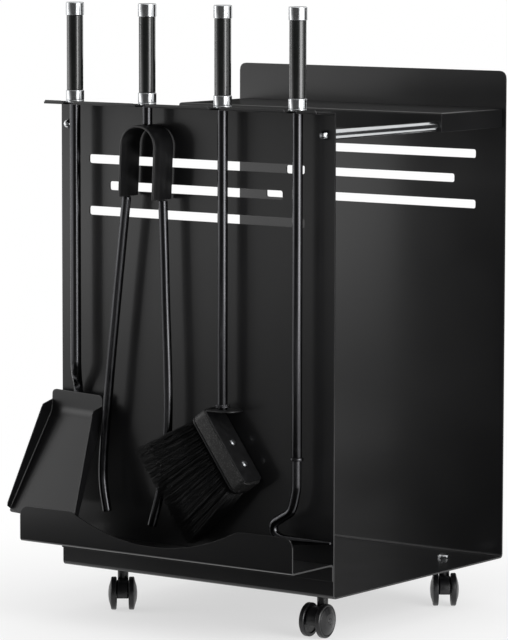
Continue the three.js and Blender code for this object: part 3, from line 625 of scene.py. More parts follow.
ROD_RADIUS, STUD_RADIUS = 6.0, 3.0
shelf_low = box_mm("shelf")[0]
for side in ("left", "right"):
    low, high = box_mm(f"spacer_rod_{side}")
    x, z = (low[0] + high[0]) / 2, (low[2] + high[2]) / 2
    rod_start, rod_end = SHEET + SEAT_GAP, shelf_low[1] - SEAT_GAP
    rod = softened([
        [0, low[1]], [STUD_RADIUS, low[1]], [STUD_RADIUS, rod_start], [ROD_RADIUS, rod_start],
        [ROD_RADIUS, rod_end], [STUD_RADIUS, rod_end], [STUD_RADIUS, high[1] - 2.5],
        [5, high[1] - 2.5], [4.6, high[1] - 0.6], [0, high[1]],
    ], 0.5)
    grid = moved(lying(turned(rod)), (x, 0, z))
    make_piece(f"rod_{side}", [grid], "chassis", f"spacer_rod_{side}", "chrome")
    print("rod", side, "from", round(low[1], 1), "to", round(high[1], 1))

# %% [markdown]
# A domed nut is a hexagon below and a dome above. Its radius is the smaller of the two at each
# height: a hexagon's edge distance, flat / cos(a), and the dome's circle. Taking the smaller one
# also makes the curved chamfer that a real nut has where its flats run into the dome.

# %% Domed nuts


def domed_nut(flats, dome, height, sides=72):
    """A nut of flats across, on Z from 0 to height: radius = min(flats / 2 / cos b, dome profile),
    where b is the angle from the middle of the nearest flat."""
    profile = softened([
        [0, 0], [dome * 1.06, 0], [dome * 1.1, height * 0.42], [dome * 0.93, height * 0.5],
        [dome * 0.86, height * 0.7], [dome * 0.5, height * 0.95], [0, height],
    ], 0.9)
    r, z = profile.T[:, :, None]
    a = np.linspace(0, 2 * np.pi, sides, endpoint=False)[None, :]
    b = (a + np.pi / 6) % (np.pi / 3) - np.pi / 6
    return round_grid(np.minimum(r, flats / 2 / np.cos(b)), z, a)


for side in ("left", "right"):
    node = f"rod_cap_nut_{side}"
    low, high = box_mm(node)
    centre = (low + high) / 2
    nut = domed_nut(flats=9.8, dome=5.2, height=high[1] - low[1])
    standing = moved(nut, (centre[0], high[1], centre[2]), rotation(about_x=90))
    make_piece(f"wall_nut_{side}", [standing], "chassis", node, "chrome", smooth_below=28)
print("wall nuts", (high - low).round(1), "mm")

# %% Rivets behind the shelf


def rivet(shank, head, grip, rise=2.4):
    """A rivet on Z: a domed head below 0, its shank up to grip, and a like head above that."""
    r = head / 2
    return turned(softened([
        [0, -rise], [r * 0.6, -rise * 0.82], [r, -0.3], [r, 0], [shank / 2, 0],
        [shank / 2, grip], [r, grip], [r, grip + 0.3], [r * 0.6, grip + rise * 0.82],
        [0, grip + rise],
    ], 0.5), sides=40)


for side in ("left", "right"):
    node = f"shelf_rivet_{side}"
    low, high = box_mm(node)
    centre = (low + high) / 2
    head_rise = 2.4
    points = rivet(5.0, high[0] - low[0], (high[1] - low[1]) - 2 * head_rise, head_rise)
    standing = moved(points, (centre[0], high[1] - head_rise, centre[2]), rotation(about_x=90))
    make_piece(f"shelf_rivet_pair_{side}", [standing], "chassis", node, "zinc_steel")
print("shelf rivets grip", round(high[1] - low[1] - 2 * head_rise, 2), "mm of sheet")

# %% [markdown]
# ## Casters
#
# A twin-wheel caster is six moulded or turned pieces. The stem screws through the trough's floor
# into a domed nut. The hood turns on the stem: a thick disc between the wheels, cut off flat just
# below the axle, with a socket for the stem, a shallow ring on each flank and a small pin below.
# The axle goes through the hood, and a wheel with a domed cover runs on each end. Each caster is
# turned its own way, as the photograph shows them.

# %% Caster profiles
AXLE_RADIUS, AXLE_PAST_HOOD, AXLE_DROP, TRAIL = 2.5, 7.5, -35.0, 12.0
HOOD_HALF, HOOD_RADIUS, SOCKET_RADIUS, SOCKET_END = 7.2, 16.5, 6.5, -39.0

wheel = turned(softened([
    [0, 7.5], [2.8, 7.5], [2.8, 0.4], [6, 0.4], [6.4, 1.6], [15.6, 1.6], [16, 0], [18.9, 0],
    [20, 0.9], [20, 5.6], [18.9, 6.6], [17.6, 6.75], [17.2, 6.15], [16.7, 6.15], [16.3, 7.0],
    [9, 9.2], [4.2, 9.85], [3.9, 9.5], [3.5, 9.5], [3.2, 9.95], [0, 10],
], 0.35), sides=96)
flank = [
    [2.9, -HOOD_HALF], [4.6, -HOOD_HALF], [5.0, -HOOD_HALF + 0.7], [12.6, -HOOD_HALF + 0.7],
    [13, -HOOD_HALF], [HOOD_RADIUS - 1.2, -HOOD_HALF], [HOOD_RADIUS, -HOOD_HALF + 1.2],
]
other_flank = [[r, -y] for r, y in reversed(flank)]
hood_disc = turned(softened([*flank, *other_flank], 0.5), sides=80)
stem_foot = SOCKET_END + 5.0
hood_socket = turned(softened([
    [0, stem_foot], [4.3, stem_foot], [4.3, -6], [5.9, -6], [SOCKET_RADIUS, -6.6],
    [SOCKET_RADIUS, SOCKET_END + 1], [SOCKET_RADIUS - 1, SOCKET_END], [1.1, SOCKET_END],
    [0.9, SOCKET_END - 0.4], [0.9, SOCKET_END - 4.4], [0.5, SOCKET_END - 5], [0, SOCKET_END - 5],
], 0.4), sides=48)
stem_top = box_mm("caster_near_left_stem")[1][2]
stem = turned(softened([
    [0, stem_foot + 0.3], [3.7, stem_foot + 0.3], [4, stem_foot + 0.8], [4, -2.5], [9.6, -2.5],
    [10, -2.1], [10, -0.7], [9.6, -0.3], [4, -0.3], [4, stem_top - 0.4], [3.6, stem_top],
    [0, stem_top],
], 0.2), sides=48)
print("wheel profile:", wheel.shape[0], "stations by", wheel.shape[1], "sides")

# %% Four casters
quarter_turn = rotation(about_y=90)
for place, turn_angle in (
    ("near_left", 36.4), ("near_right", 5.0), ("far_left", 36.4), ("far_right", 36.4),
):
    label = f"caster_{place}"
    low, high = box_mm(f"{label}_stem")
    pivot = np.array([(low[0] + high[0]) / 2, (low[1] + high[1]) / 2, 0])
    yaw = rotation(about_z=turn_angle)
    axle_centre = pivot + yaw @ np.array([0, -TRAIL, AXLE_DROP])
    make_piece(
        f"{label}_stem_turned", [moved(stem, pivot)], "chassis", f"{label}_stem", "zinc_steel",
    )
    nut_low, nut_high = box_mm(f"{label}_nut")
    nut = domed_nut(flats=14.2, dome=7.4, height=nut_high[2] - nut_low[2])
    make_piece(
        f"{label}_nut_domed", [moved(nut, pivot + [0, 0, nut_low[2]])], "chassis",
        f"{label}_nut", "chrome", smooth_below=28,
    )
    disc = moved(hood_disc, (0, -TRAIL, AXLE_DROP), quarter_turn)
    disc[..., 2] = np.maximum(disc[..., 2], SOCKET_END + 0.1)
    disc = moved(disc, pivot, yaw)
    make_piece(
        f"{label}_hood_moulded", [disc, moved(hood_socket, pivot)], label, f"{label}_hood",
        "caster_plastic",
    )
    reach = HOOD_HALF + AXLE_PAST_HOOD
    axle = turned(softened([
        [0, -reach], [AXLE_RADIUS, -reach], [AXLE_RADIUS, reach], [0, reach],
    ], 0.3), 32)
    make_piece(
        f"{label}_axle_pin", [moved(axle, axle_centre, yaw @ quarter_turn)], label,
        f"{label}_axle", "zinc_steel",
    )
    for side, sign in (("left", -1), ("right", 1)):
        out = yaw @ rotation(about_y=90 * sign)
        seat = axle_centre + yaw @ np.array([sign * (HOOD_HALF + SEAT_GAP), 0, 0])
        make_piece(
            f"{label}_wheel_{side}_moulded", [moved(wheel, seat, out)],
            f"{label}_{side}_wheel", f"{label}_wheel_{side}", "caster_plastic",
        )
    print(label, "turned", turn_angle, "degrees, axle at", axle_centre.round(1))

# %% [markdown]
# ## Handles
#
# All four tools have the same handle: a chrome ferrule on the rack, a tube grip, and a chrome cap.
# They share one axis, which is the middle of the cap's box. The edges decide how such plain pieces
# look: the ferrule and cap have a turned radius at both ends, and the grip stands a little inside
# them, so each joint shows as a thin dark step.

# %% Ferrules, grips and caps
TOOLS = ("shovel", "tongs", "brush", "poker")
SHAFT_RADIUS = 6.0
tool_zero = {}
for tool in TOOLS:
    cap_low, cap_high = box_mm(f"{tool}_cap")
    grip_low, grip_high = box_mm(f"{tool}_grip")
    ferrule_low, ferrule_high = box_mm(f"{tool}_ferrule")
    metal, hand = (cap_high[0] - cap_low[0]) / 2, (grip_high[0] - grip_low[0]) / 2
    bore = SHAFT_RADIUS + SEAT_GAP
    tool_zero[tool] = np.array([*((cap_low + cap_high) / 2)[:2], ferrule_low[2]])
    length = ferrule_high[2] - ferrule_low[2]
    ferrule = turned(softened([
        [bore, length / 2], [bore, 0], [metal, 0], [metal, 2.2], [metal - 0.25, 2.5],
        [metal - 0.25, 2.9], [metal, 3.2], [metal, length], [bore, length], [bore, length / 2],
    ], [0.2, 0.9, 0.15, 0.15, 0.15, 0.15, 0.9, 0.2]))
    grip_length = grip_high[2] - grip_low[2]
    grip = turned(softened([
        [bore, grip_length / 2], [bore, 0], [hand, 0], [hand, grip_length], [bore, grip_length],
        [bore, grip_length / 2],
    ], [0.2, 0.5, 0.5, 0.2]))
    length, wall = cap_high[2] - cap_low[2], 6.0
    cap = turned(softened([
        [0, length - wall + 0.3], [bore, length - wall + 0.3], [bore, 0], [metal, 0],
        [metal, length], [metal * 0.35, length], [0, length],
    ], [0.3, 0.2, 0.9, 1.7, 0.5]))
    for part, points, low, slot in (
        ("ferrule", ferrule, ferrule_low, "chrome"),
        ("grip", grip, grip_low, "grip_lacquer"),
        ("cap", cap, cap_low, "chrome"),
    ):
        seated = moved(points, [*tool_zero[tool][:2], low[2]])
        make_piece(f"{tool}_{part}_turned", [seated], tool, f"{tool}_{part}", slot)
    print(tool, "handle from", round(ferrule_low[2], 1), "to", round(cap_high[2], 1))

# %% [markdown]
# ## Shafts of the tongs, brush and poker
#
# Three shafts are plain drawn bar with a thin tenon below, which goes through the strap, the
# bracket or the hook's collar. The shaft's top hides inside the cap. Each is one turned profile
# whose lengths come from its own CAD box.

# %% Plain shafts
TENON_RADIUS = 3.0
for tool, tenon in (("tongs", 6.0), ("brush", 4.6), ("poker", 12.0)):
    low, high = box_mm(f"{tool}_shaft")
    shoulder = low[2] + tenon
    points = turned(softened([
        [0, low[2]], [TENON_RADIUS, low[2]], [TENON_RADIUS, shoulder], [SHAFT_RADIUS, shoulder],
        [SHAFT_RADIUS, high[2]], [0, high[2]],
    ], [0.4, 0.2, 0.6, 0.6]))
    seated = moved(points, [*tool_zero[tool][:2], 0])
    make_piece(f"{tool}_shaft_turned", [seated], tool, f"{tool}_shaft", "polished_black_steel")
    print(tool, "shaft shoulder at", round(shoulder, 1))

# %% [markdown]
# ## The shovel's shaft
#
# This shaft is cranked back near its foot and hammered flat into a palm that is welded behind the
# pan. It is one bar: its path bends twice, and along the last stretch the round section gives way
# to a flat one of about the same area. The section's two half-widths are simply interpolated along
# the path.

# %% The cranked shaft
PAN_OFFSET = np.array([-6.0, 9.5])
PAN_TILT, PAN_YAW, PAN_LEAN = 25.5, 4.0, 1.5
BEND_DROP, PALM_DROP, CRANK_DROP = 373.0, 346.0, 314.0
PAN_SHEET, PALM_WIDTH, PALM_THICKNESS = 1.2, 14.0, 4.5

shaft_high = box_mm("shovel_shaft")[1]
top = shaft_high[2] - tool_zero["shovel"][2]
palm_back = PAN_OFFSET[1] + PAN_SHEET / 2 + SEAT_GAP + PALM_THICKNESS / 2
bends = softened([
    [0, 0, top], [0, 0, -CRANK_DROP - 6], [PAN_OFFSET[0], palm_back, -PALM_DROP + 2],
    [PAN_OFFSET[0], palm_back, -BEND_DROP],
], 12, steps=8)
path, radius = with_round_ends(evenly(bends, 2.5), SHAFT_RADIUS, rounding=1.0)
flatness = np.interp(-path[:, 2], [CRANK_DROP + 8, PALM_DROP - 2], [0, 1])
flatness = flatness**2 * (3 - 2 * flatness)
across = radius * (1 - flatness) + (radius + PALM_WIDTH / 2 - SHAFT_RADIUS) * flatness
deep = radius * (1 - flatness) + radius * PALM_THICKNESS / 2 / SHAFT_RADIUS * flatness
along_flange = rotation(about_z=-PAN_YAW) @ np.array([1.0, 0, 0])
shaft = bar(path, across, deep, along_flange, sides=36, squareness=2.4)
make_piece(
    "shovel_shaft_forged", [moved(shaft, tool_zero["shovel"])], "shovel", "shovel_shaft",
    "polished_black_steel", smooth_below=50,
)
print("the palm is", round(palm_back, 2), "mm behind the axis")

# %% [markdown]
# ## The shovel's pan
#
# The pan is folded from one thin sheet: a floor, a rear flange that stands up against the shaft,
# and a side wall on each side that runs out towards the front. The folds are what make it read as
# sheet, so the surface is built as one grid with its folds in it. Each station down the pan has the
# same cross section: wall, quarter-round fold, floor, fold, wall. Its half-width and its wall
# height change from station to station, and where the walls end the height is zero. Solidify then
# gives it thickness and a Bevel rounds the rim.

# %% The folded pan


def trough_rows(centre, normal, half_width, wall, fold):
    """A folded sheet: centre + x X + y n. From a wall's top at (-w, h) the section runs to (-w, b),
    round the fold x = -w + b (1 - cos a), y = b (1 - sin a) to the floor, and alike up the other
    side, where the fold's radius b is the smaller of fold and h."""
    b = np.minimum(fold, wall)[:, None]
    w, h = half_width[:, None], wall[:, None]
    up = np.linspace(0, 1, 6)[None, :]
    a = np.linspace(0, np.pi / 2, 9)[None, 1:]
    x = np.concatenate([-w + 0 * up, -w + b * (1 - np.cos(a))], axis=1)
    y = np.concatenate([h + (b - h) * up, b * (1 - np.sin(a))], axis=1)
    floor = np.linspace(-1, 1, 13)[None, 1:-1] * (w - b)
    x = np.concatenate([x, floor, -x[:, ::-1]], axis=1)
    y = np.concatenate([y, 0 * floor, y[:, ::-1]], axis=1)
    return centre[:, None] + x[..., None] * np.array([1.0, 0, 0]) + y[..., None] * normal[:, None]


PAN_REAR, PAN_FRONT, PAN_LENGTH = 41.0, 55.5, 133.0
REAR_RISE, REAR_CORNER, FRONT_CORNER = 25.5, 6.0, 4.0
down = np.array([0, -np.sin(np.radians(PAN_TILT)), -np.cos(np.radians(PAN_TILT))])
centre = evenly(softened([[0, 0, REAR_RISE], [0, 0, 0], down * PAN_LENGTH], 7, steps=10), 1.0)
along = directions(centre)
normal = np.stack([0 * along[:, 0], along[:, 2], -along[:, 1]], axis=1)
run = np.linspace(-REAR_RISE, PAN_LENGTH, len(centre))
half_width = np.interp(run, [-REAR_RISE, 0, PAN_LENGTH], [PAN_REAR, PAN_REAR, PAN_FRONT])
rear_round = np.clip(-run - (REAR_RISE - REAR_CORNER), 0, REAR_CORNER)
front_round = np.clip(run - (PAN_LENGTH - FRONT_CORNER), 0, FRONT_CORNER)
half_width -= REAR_CORNER - np.sqrt(REAR_CORNER**2 - rear_round**2)
half_width -= FRONT_CORNER - np.sqrt(FRONT_CORNER**2 - front_round**2)
wall = np.interp(
    run, [-13, -8.2, 0, PAN_LENGTH - 9, PAN_LENGTH - 5, PAN_LENGTH - 4], [0, 17.1, 19, 8.4, 6.5, 0],
)
pan = trough_rows(centre, normal, half_width, wall, fold=2.0)
pan_zero = tool_zero["shovel"] + [PAN_OFFSET[0], PAN_OFFSET[1], -BEND_DROP]
pan = moved(pan, pan_zero, rotation(about_y=PAN_LEAN, about_z=-PAN_YAW))
pan_piece = make_piece(
    "shovel_pan_folded", [pan], "shovel", "shovel_pan", "powder_coat",
    closed=False, solid=False, smooth_below=180,
)
give_thickness(pan_piece, PAN_SHEET, rim_mm=0.3)
print("pan grid", pan.shape[:2], "box", [c.round(1) for c in box_mm("shovel_pan")])

# %% [markdown]
# ## Tongs
#
# The tongs' spring is a strip of steel bent to an upside-down U, with a rod welded to each end. The
# strip's section is a flat oblong with rounded edges, carried round the bend, so it is the same bar
# function with a squarer section. Each rod bows out, runs down, and turns in again at its tip.

# %% The spring strap and the rods
TONGS_LEAN, CROWN_DROP = 2.6, 23.0
STRAP_WIDTH, STRAP_THICKNESS, STRAP_SPAN, STRAP_LENGTH = 35.5, 3.0, 52.5, 86.0
tongs_turn = rotation(about_y=TONGS_LEAN)
crown = tool_zero["tongs"] - [0, 0, CROWN_DROP]
half_span = (STRAP_SPAN - STRAP_THICKNESS) / 2
bow = half_span - 1
straight_end = -STRAP_THICKNESS / 2 - bow
a = np.linspace(0, np.pi / 2, 16)
left_bow = np.stack([-1 - bow * np.cos(a), 0 * a, straight_end + bow * np.sin(a)], axis=1)
right_bow = left_bow[::-1] * [-1, 1, 1]
legs = np.vstack([
    [[-half_span, 0, -STRAP_LENGTH]], left_bow, right_bow, [[half_span, 0, -STRAP_LENGTH]],
])
path, half_thick = with_round_ends(evenly(legs, 2.0), STRAP_THICKNESS / 2, rounding=0.7)
half_wide = half_thick * STRAP_WIDTH / STRAP_THICKNESS
strap = bar(path, half_wide, half_thick, (0, 1, 0), sides=48, squareness=9)
make_piece(
    "tongs_strap_bent", [moved(strap, crown, tongs_turn)], "tongs", "tongs_strap",
    "satin_black_steel", smooth_below=50,
)

ROD_SPREAD, TONGS_ROD_RADIUS = 27.0, 5.5
ROD_BENDS = {
    "left": [[-35, -190], [-44, -320], [-48, -425], [-40, -465]],
    "right": [[35, -190], [46, -350], [41.7, -413], [27.9, -473]],
}
for (side, bends), sign in zip(ROD_BENDS.items(), (-1, 1)):
    start = [sign * ROD_SPREAD, -STRAP_LENGTH - 0.3]
    flat_path = smooth_path([start, *bends])
    path, radius = with_round_ends(evenly(upright(flat_path), 4.0), TONGS_ROD_RADIUS, rounding=1.2)
    points = moved(bar(path, radius, radius, (0, 1, 0)), crown, tongs_turn)
    make_piece(
        f"tongs_rod_{side}_bent", [points], "tongs", f"tongs_rod_{side}",
        "polished_black_steel", smooth_below=50,
    )
    print("tongs rod", side, "ends at", moved(path[-1:], crown, tongs_turn)[0].round(1))

# %% [markdown]
# ## Brush: collar, bracket and rivets
#
# The brush hangs by a folded bracket. Its short tab lies across the shaft's foot under a knurled
# collar, and its leg is riveted along the block's upper face. The collar's knurl is two sets of
# crossing grooves: the radius falls with |sin| of two helices, which leaves small diamonds.

# %% The knurled collar
BLOCK_SLOPE, TAB_DROP = 54.0, 350.0
BLOCK_LENGTH, BLOCK_WIDTH, BLOCK_THICKNESS, BLOCK_CORNER = 105.0, 35.0, 18.7, 9.0
BLOCK_CENTRE = np.array([7.0, 0.0, -396.4])

low, high = box_mm("brush_collar")
collar_radius, collar_height = (high[0] - low[0]) / 2, high[2] - low[2]
height = np.concatenate([[0, 0], np.linspace(0.3, collar_height - 0.3, 15), [collar_height] * 2])
radius = np.full(len(height), collar_radius)
radius[[0, -1]] = SHAFT_RADIUS + SEAT_GAP
radius[[1, -2]] = collar_radius - 0.3
angle = np.linspace(0, 2 * np.pi, 168, endpoint=False)[None, :]
helix = height[:, None] / 1.5 * np.pi
groove = np.minimum(np.abs(np.sin(14 * angle + helix)), np.abs(np.sin(14 * angle - helix)))
depth = np.where((height > 0.2) & (height < collar_height - 0.2), 0.35, 0)[:, None]
knurled = radius[:, None] - depth * (1 - np.minimum(groove * 2, 1))
grid = round_grid(knurled, height[:, None], angle)
grid = np.concatenate([grid, grid[:1]])
make_piece(
    "brush_collar_knurled", [moved(grid, [*tool_zero["brush"][:2], low[2]])], "brush",
    "brush_collar", "polished_black_steel",
)
print("collar", round(2 * collar_radius, 1), "mm across with 28 diamonds round it")

# %% The folded bracket


def flat_strip(centre, half_width):
    """A strip without walls: centre + x Y, with x from -w to w."""
    x = np.linspace(-1, 1, 17)[None, :] * half_width[:, None]
    return centre[:, None] + x[..., None] * np.array([0, 1.0, 0])


BRACKET_SHEET, BRACKET_HALF, TAB_LENGTH, LEG_LENGTH, LEG_CORNER = 1.6, 17.0, 38.0, 98.0, 3.0
brush_zero = tool_zero["brush"]
head_turn = rotation(about_y=BLOCK_SLOPE)
slope = np.radians(BLOCK_SLOPE)
above_block = np.array([0, 0, BLOCK_THICKNESS / 2 + SEAT_GAP + BRACKET_SHEET / 2])
face_line = head_turn @ above_block + BLOCK_CENTRE
fold_z = -TAB_DROP - BRACKET_SHEET / 2
fold = np.array([face_line[0] - (fold_z - face_line[2]) / np.tan(slope), 0, fold_z])
leg = np.array([np.cos(slope), 0, -np.sin(slope)])
corners = [fold + [TAB_LENGTH, 0, 0], fold, fold + leg * LEG_LENGTH]
centre = evenly(softened(corners, 4.0, steps=12), 1.0)
run = running_length(centre)
round_end = np.clip(BRACKET_HALF - run, 0, BRACKET_HALF)
half_width = np.sqrt(np.maximum(BRACKET_HALF**2 - round_end**2, 0.01))
leg_end = np.clip(run - (run[-1] - LEG_CORNER), 0, LEG_CORNER)
half_width -= LEG_CORNER - np.sqrt(LEG_CORNER**2 - leg_end**2)
strip = moved(flat_strip(centre, half_width), brush_zero)
bracket_piece = make_piece(
    "brush_bracket_folded", [strip], "brush", "brush_bracket", "satin_black_steel",
    closed=False, solid=False, smooth_below=180,
)
give_thickness(bracket_piece, BRACKET_SHEET, rim_mm=0.35)
print("bracket folds at", fold.round(1))

# %% The bracket's rivets
block_zero = brush_zero + BLOCK_CENTRE
grip = BLOCK_THICKNESS / 2 + BRACKET_SHEET + 0.6
for name, along_block in (("upper", -3.0), ("lower", 26.5)):
    points = turned(softened([
        [0, 0], [2.5, 0], [2.5, grip], [4.5, grip], [4.5, grip + 0.5], [3.2, grip + 1.9],
        [0, grip + 2.4],
    ], 0.6), sides=40)
    points = moved(moved(points, [along_block, 0, 0]), block_zero, head_turn)
    make_piece(
        f"bracket_rivet_{name}", [points], "brush", f"brush_rivet_{name}", "zinc_steel",
    )
print("two rivets,", round(grip, 2), "mm from the block's middle to their heads")

# %% [markdown]
# ## Brush: block and bristles
#
# The block is a rounded oblong whose edges are softened all round. It is a stack of rings: each
# ring is the same oblong drawn inward by an inset, and the inset follows a quarter circle at the
# top and bottom. The bristles stand in drilled rows, and every hole holds a tuft of strands that
# spread from one root. All strands are worked out at once, as arrays of roots and tips; each is a
# thin three-sided needle with a slight bow, so several thousand stay light.

# %% The block


def oblong_ring(half_x, half_y, corner, steps=8):
    """A rounded oblong in the plane: four corner centres, each with a quarter circle about it."""
    a = np.linspace(0, np.pi / 2, steps + 1)[None, :] + (np.arange(4) * np.pi / 2)[:, None]
    x = np.array([1, -1, -1, 1])[:, None] * (half_x - corner) + corner * np.cos(a)
    y = np.array([1, 1, -1, -1])[:, None] * (half_y - corner) + corner * np.sin(a)
    return np.stack([x.ravel(), y.ravel()], axis=1)


def softened_slab(half_x, half_y, corner, low, high, edge):
    """A slab of rings: at angle a of the lower edge's quarter circle the ring is drawn in by
    edge (1 - sin a) at height low + edge (1 - cos a), and the upper edge mirrors it."""
    a = np.linspace(0, np.pi / 2, 6)
    inset = edge * (1 - np.sin(a))
    z = low + edge * (1 - np.cos(a))
    inset, z = np.concatenate([inset, inset[::-1]]), np.concatenate([z, (low + high - z)[::-1]])
    rings = np.stack([oblong_ring(half_x - i, half_y - i, corner - i) for i in inset])
    rings = np.concatenate([rings[:1] * 0, rings, rings[:1] * 0])
    z = np.concatenate([z[:1], z, z[-1:]])
    heights = np.broadcast_to(z[:, None, None], (*rings.shape[:2], 1))
    return np.concatenate([rings, heights], axis=-1)


half = BLOCK_THICKNESS / 2
block = softened_slab(BLOCK_LENGTH / 2, BLOCK_WIDTH / 2, BLOCK_CORNER, -half, half, edge=1.4)
make_piece(
    "brush_block_moulded", [moved(block, block_zero, head_turn)], "brush", "brush_block",
    "block_plastic", smooth_below=50,
)
print("block rings", block.shape[:2])

# %% The bristles
BRISTLE_LENGTH, BRISTLE_FIELD, BRISTLE_FLARE, SLICE = 96.0, (94.0, 27.0), (1.34, 1.1), 2.5
TUFT_COLUMNS, TUFT_ROWS, STRANDS = 30, 9, 16
STRAND_BOW, ROD_CLEARANCE = 1.2, 0.9
random = np.random.default_rng(7)

column, row, _ = np.indices((TUFT_COLUMNS, TUFT_ROWS, STRANDS))
share_x = (column / (TUFT_COLUMNS - 1) - 0.5).ravel()
share_y = ((row + (column % 2) * 0.5) / (TUFT_ROWS - 0.5) - 0.5).ravel()
count = len(share_x)
scatter = random.normal(0, 1, (count, 4))
root = np.stack([
    share_x * BRISTLE_FIELD[0], share_y * BRISTLE_FIELD[1], np.full(count, SLICE / 2),
], axis=1)
root[:, :2] += np.clip(scatter[:, :2], -1.6, 1.6) * 0.45
tip = root * [*BRISTLE_FLARE, 0]
tip[:, :2] += np.clip(scatter[:, 2:], -1.8, 1.8) * [1.5, 1.0]
tip[:, 2] = -BRISTLE_LENGTH + random.uniform(0, 3.5, count)

# Strands in line with the tongs' right rod stop short of it, and the others pass beside it
slice_zero = np.array([0, 0, -BLOCK_THICKNESS / 2 - SEAT_GAP - SLICE])
root_in_tool = moved(root + slice_zero, BLOCK_CENTRE, head_turn)
tip_in_tool = moved(tip + slice_zero, BLOCK_CENTRE, head_turn)
rod_side = tool_zero["tongs"][0] - brush_zero[0] + STRAP_SPAN + TONGS_ROD_RADIUS + 2
rod_y = tool_zero["tongs"][1] - brush_zero[1]
keep_off = TONGS_ROD_RADIUS + ROD_CLEARANCE
beside = np.minimum(np.abs(root_in_tool[:, 1] - rod_y), np.abs(tip_in_tool[:, 1] - rod_y))
crossing = (root_in_tool[:, 1] - rod_y) * (tip_in_tool[:, 1] - rod_y) < 0
in_line = ((beside < keep_off) | crossing) & (tip_in_tool[:, 0] < rod_side)
reach = (rod_side - root_in_tool[:, 0]) / (tip_in_tool[:, 0] - root_in_tool[:, 0])
stop = np.where(in_line, np.clip(reach, 0.05, 1) * random.uniform(0.96, 1.0, count), 1.0)
tip = root + (tip - root) * stop[:, None]

station = np.array([0, 0.4, 0.75, 1.0])[None, :, None]
bow = random.normal(0, 1.0, (count, 1, 2)) * STRAND_BOW * stop[:, None, None]
spine = root[:, None] * (1 - station) + tip[:, None] * station
spine[..., :2] += bow * (4 * station * (1 - station))
thick = np.array([0.26, 0.25, 0.22, 0.14])[None, :, None, None]
around = 2 * np.pi * np.arange(3) / 3
section = np.stack([np.cos(around), np.sin(around), 0 * around], axis=1)[None, None]
strands = spine[:, :, None] + thick * section + slice_zero
strands = moved(strands.reshape(-1, 3), block_zero, head_turn)
first = (np.arange(count) * 12)[:, None, None]
sides_of_strand = np.concatenate([grid_faces(4, 3, True), [[2, 1, 0, 0], [9, 10, 11, 11]]])
strand_faces = (first + sides_of_strand[None]).reshape(-1, 4)
print(count, "strands,", int(in_line.sum()), "of them stop at the tongs' rod")

# %% The bristles' slice and mesh
slice_points = softened_slab(
    BLOCK_LENGTH / 2 - 0.2, BLOCK_WIDTH / 2 - 0.2, BLOCK_CORNER, 0, SLICE, edge=0.5,
)
slice_surface = as_surface(moved(slice_points + slice_zero, block_zero, head_turn))
mesh = bpy.data.meshes.new("brush_bristles_tufted")
points = np.vstack([strands, slice_surface[0]]) / 1000 + cart_zero
faces = [list(dict.fromkeys(face)) for face in strand_faces.tolist()]
faces += (slice_surface[1] + len(strands)).tolist()
mesh.from_pydata(points.tolist(), [], faces)
work = bmesh.new()
work.from_mesh(mesh)
bmesh.ops.remove_doubles(work, verts=work.verts, dist=1e-8)
bmesh.ops.recalc_face_normals(work, faces=work.faces)
work.to_mesh(mesh)
work.free()
mesh.shade_smooth()
add_piece("brush_bristles_tufted", mesh, "brush", ["brush_bristles"], "bristle_fibre")
print("bristles:", len(mesh.polygons), "faces")

# %% [markdown]
# ## Poker
#
# The poker's shaft ends in a collar. Below it the rod goes on, swings out to the left, turns back
# under itself and runs out to the right as a long point. It is one bar along one smooth curve, with
# a radius that stays the same round the hook and falls evenly to the tip.

# %% The hook
POKER_COLLAR_DROP, POKER_RADIUS, TIP_RADIUS = 397.0, 5.5, 1.5
HOOK_BENDS = [
    [-1.5, -440], [-8, -460], [-21, -469], [-32, -477], [-31.5, -487], [-22, -492.5], [-9, -493.5],
]
HOOK_TIP = [48, -491.7]
curve = smooth_path([[0, HOOK_BENDS[0][1] + 8], *HOOK_BENDS])
flat_path = np.vstack([[[0, -POKER_COLLAR_DROP]], curve, [HOOK_TIP]])
path = evenly(upright(flat_path), 2.0)
run = running_length(path)
point_length = HOOK_TIP[0] - HOOK_BENDS[-1][0]
radius = np.interp(
    run, [0, run[-1] - point_length, run[-1]], [POKER_RADIUS, POKER_RADIUS, TIP_RADIUS],
)
path, radius = with_round_ends(path, radius, rounding=0.8)
hook = moved(bar(path, radius, radius, (0, 1, 0)), tool_zero["poker"])
ring = turned(softened([[0, -3.6], [8, -3.6], [8, 0], [0, 0]], 0.8))
ring = moved(ring, tool_zero["poker"] - [0, 0, POKER_COLLAR_DROP])
make_piece(
    "poker_hook_bent", [hook, ring], "poker", "poker_hook", "polished_black_steel",
    smooth_below=50,
)
print("poker's point at", moved(path[-1:], tool_zero["poker"])[0].round(1))

# %% [markdown]
# ## Floor and light
#
# The cart stands on a plain pale floor. Near the cart the floor is a real matt surface that takes
# the cart's soft shadow; further out it fades into plain white, so no edge of it shows. The world
# is white where it is seen, in the background or as a reflection, and gives a milder, even light to
# matt surfaces. One big soft lamp stands to the right of the camera and makes the long lights on
# the round bars; another stands to the left and fills the walls. Dark cards, seen only in
# reflections, keep the black sheet from turning grey, as a photographer's flags do.

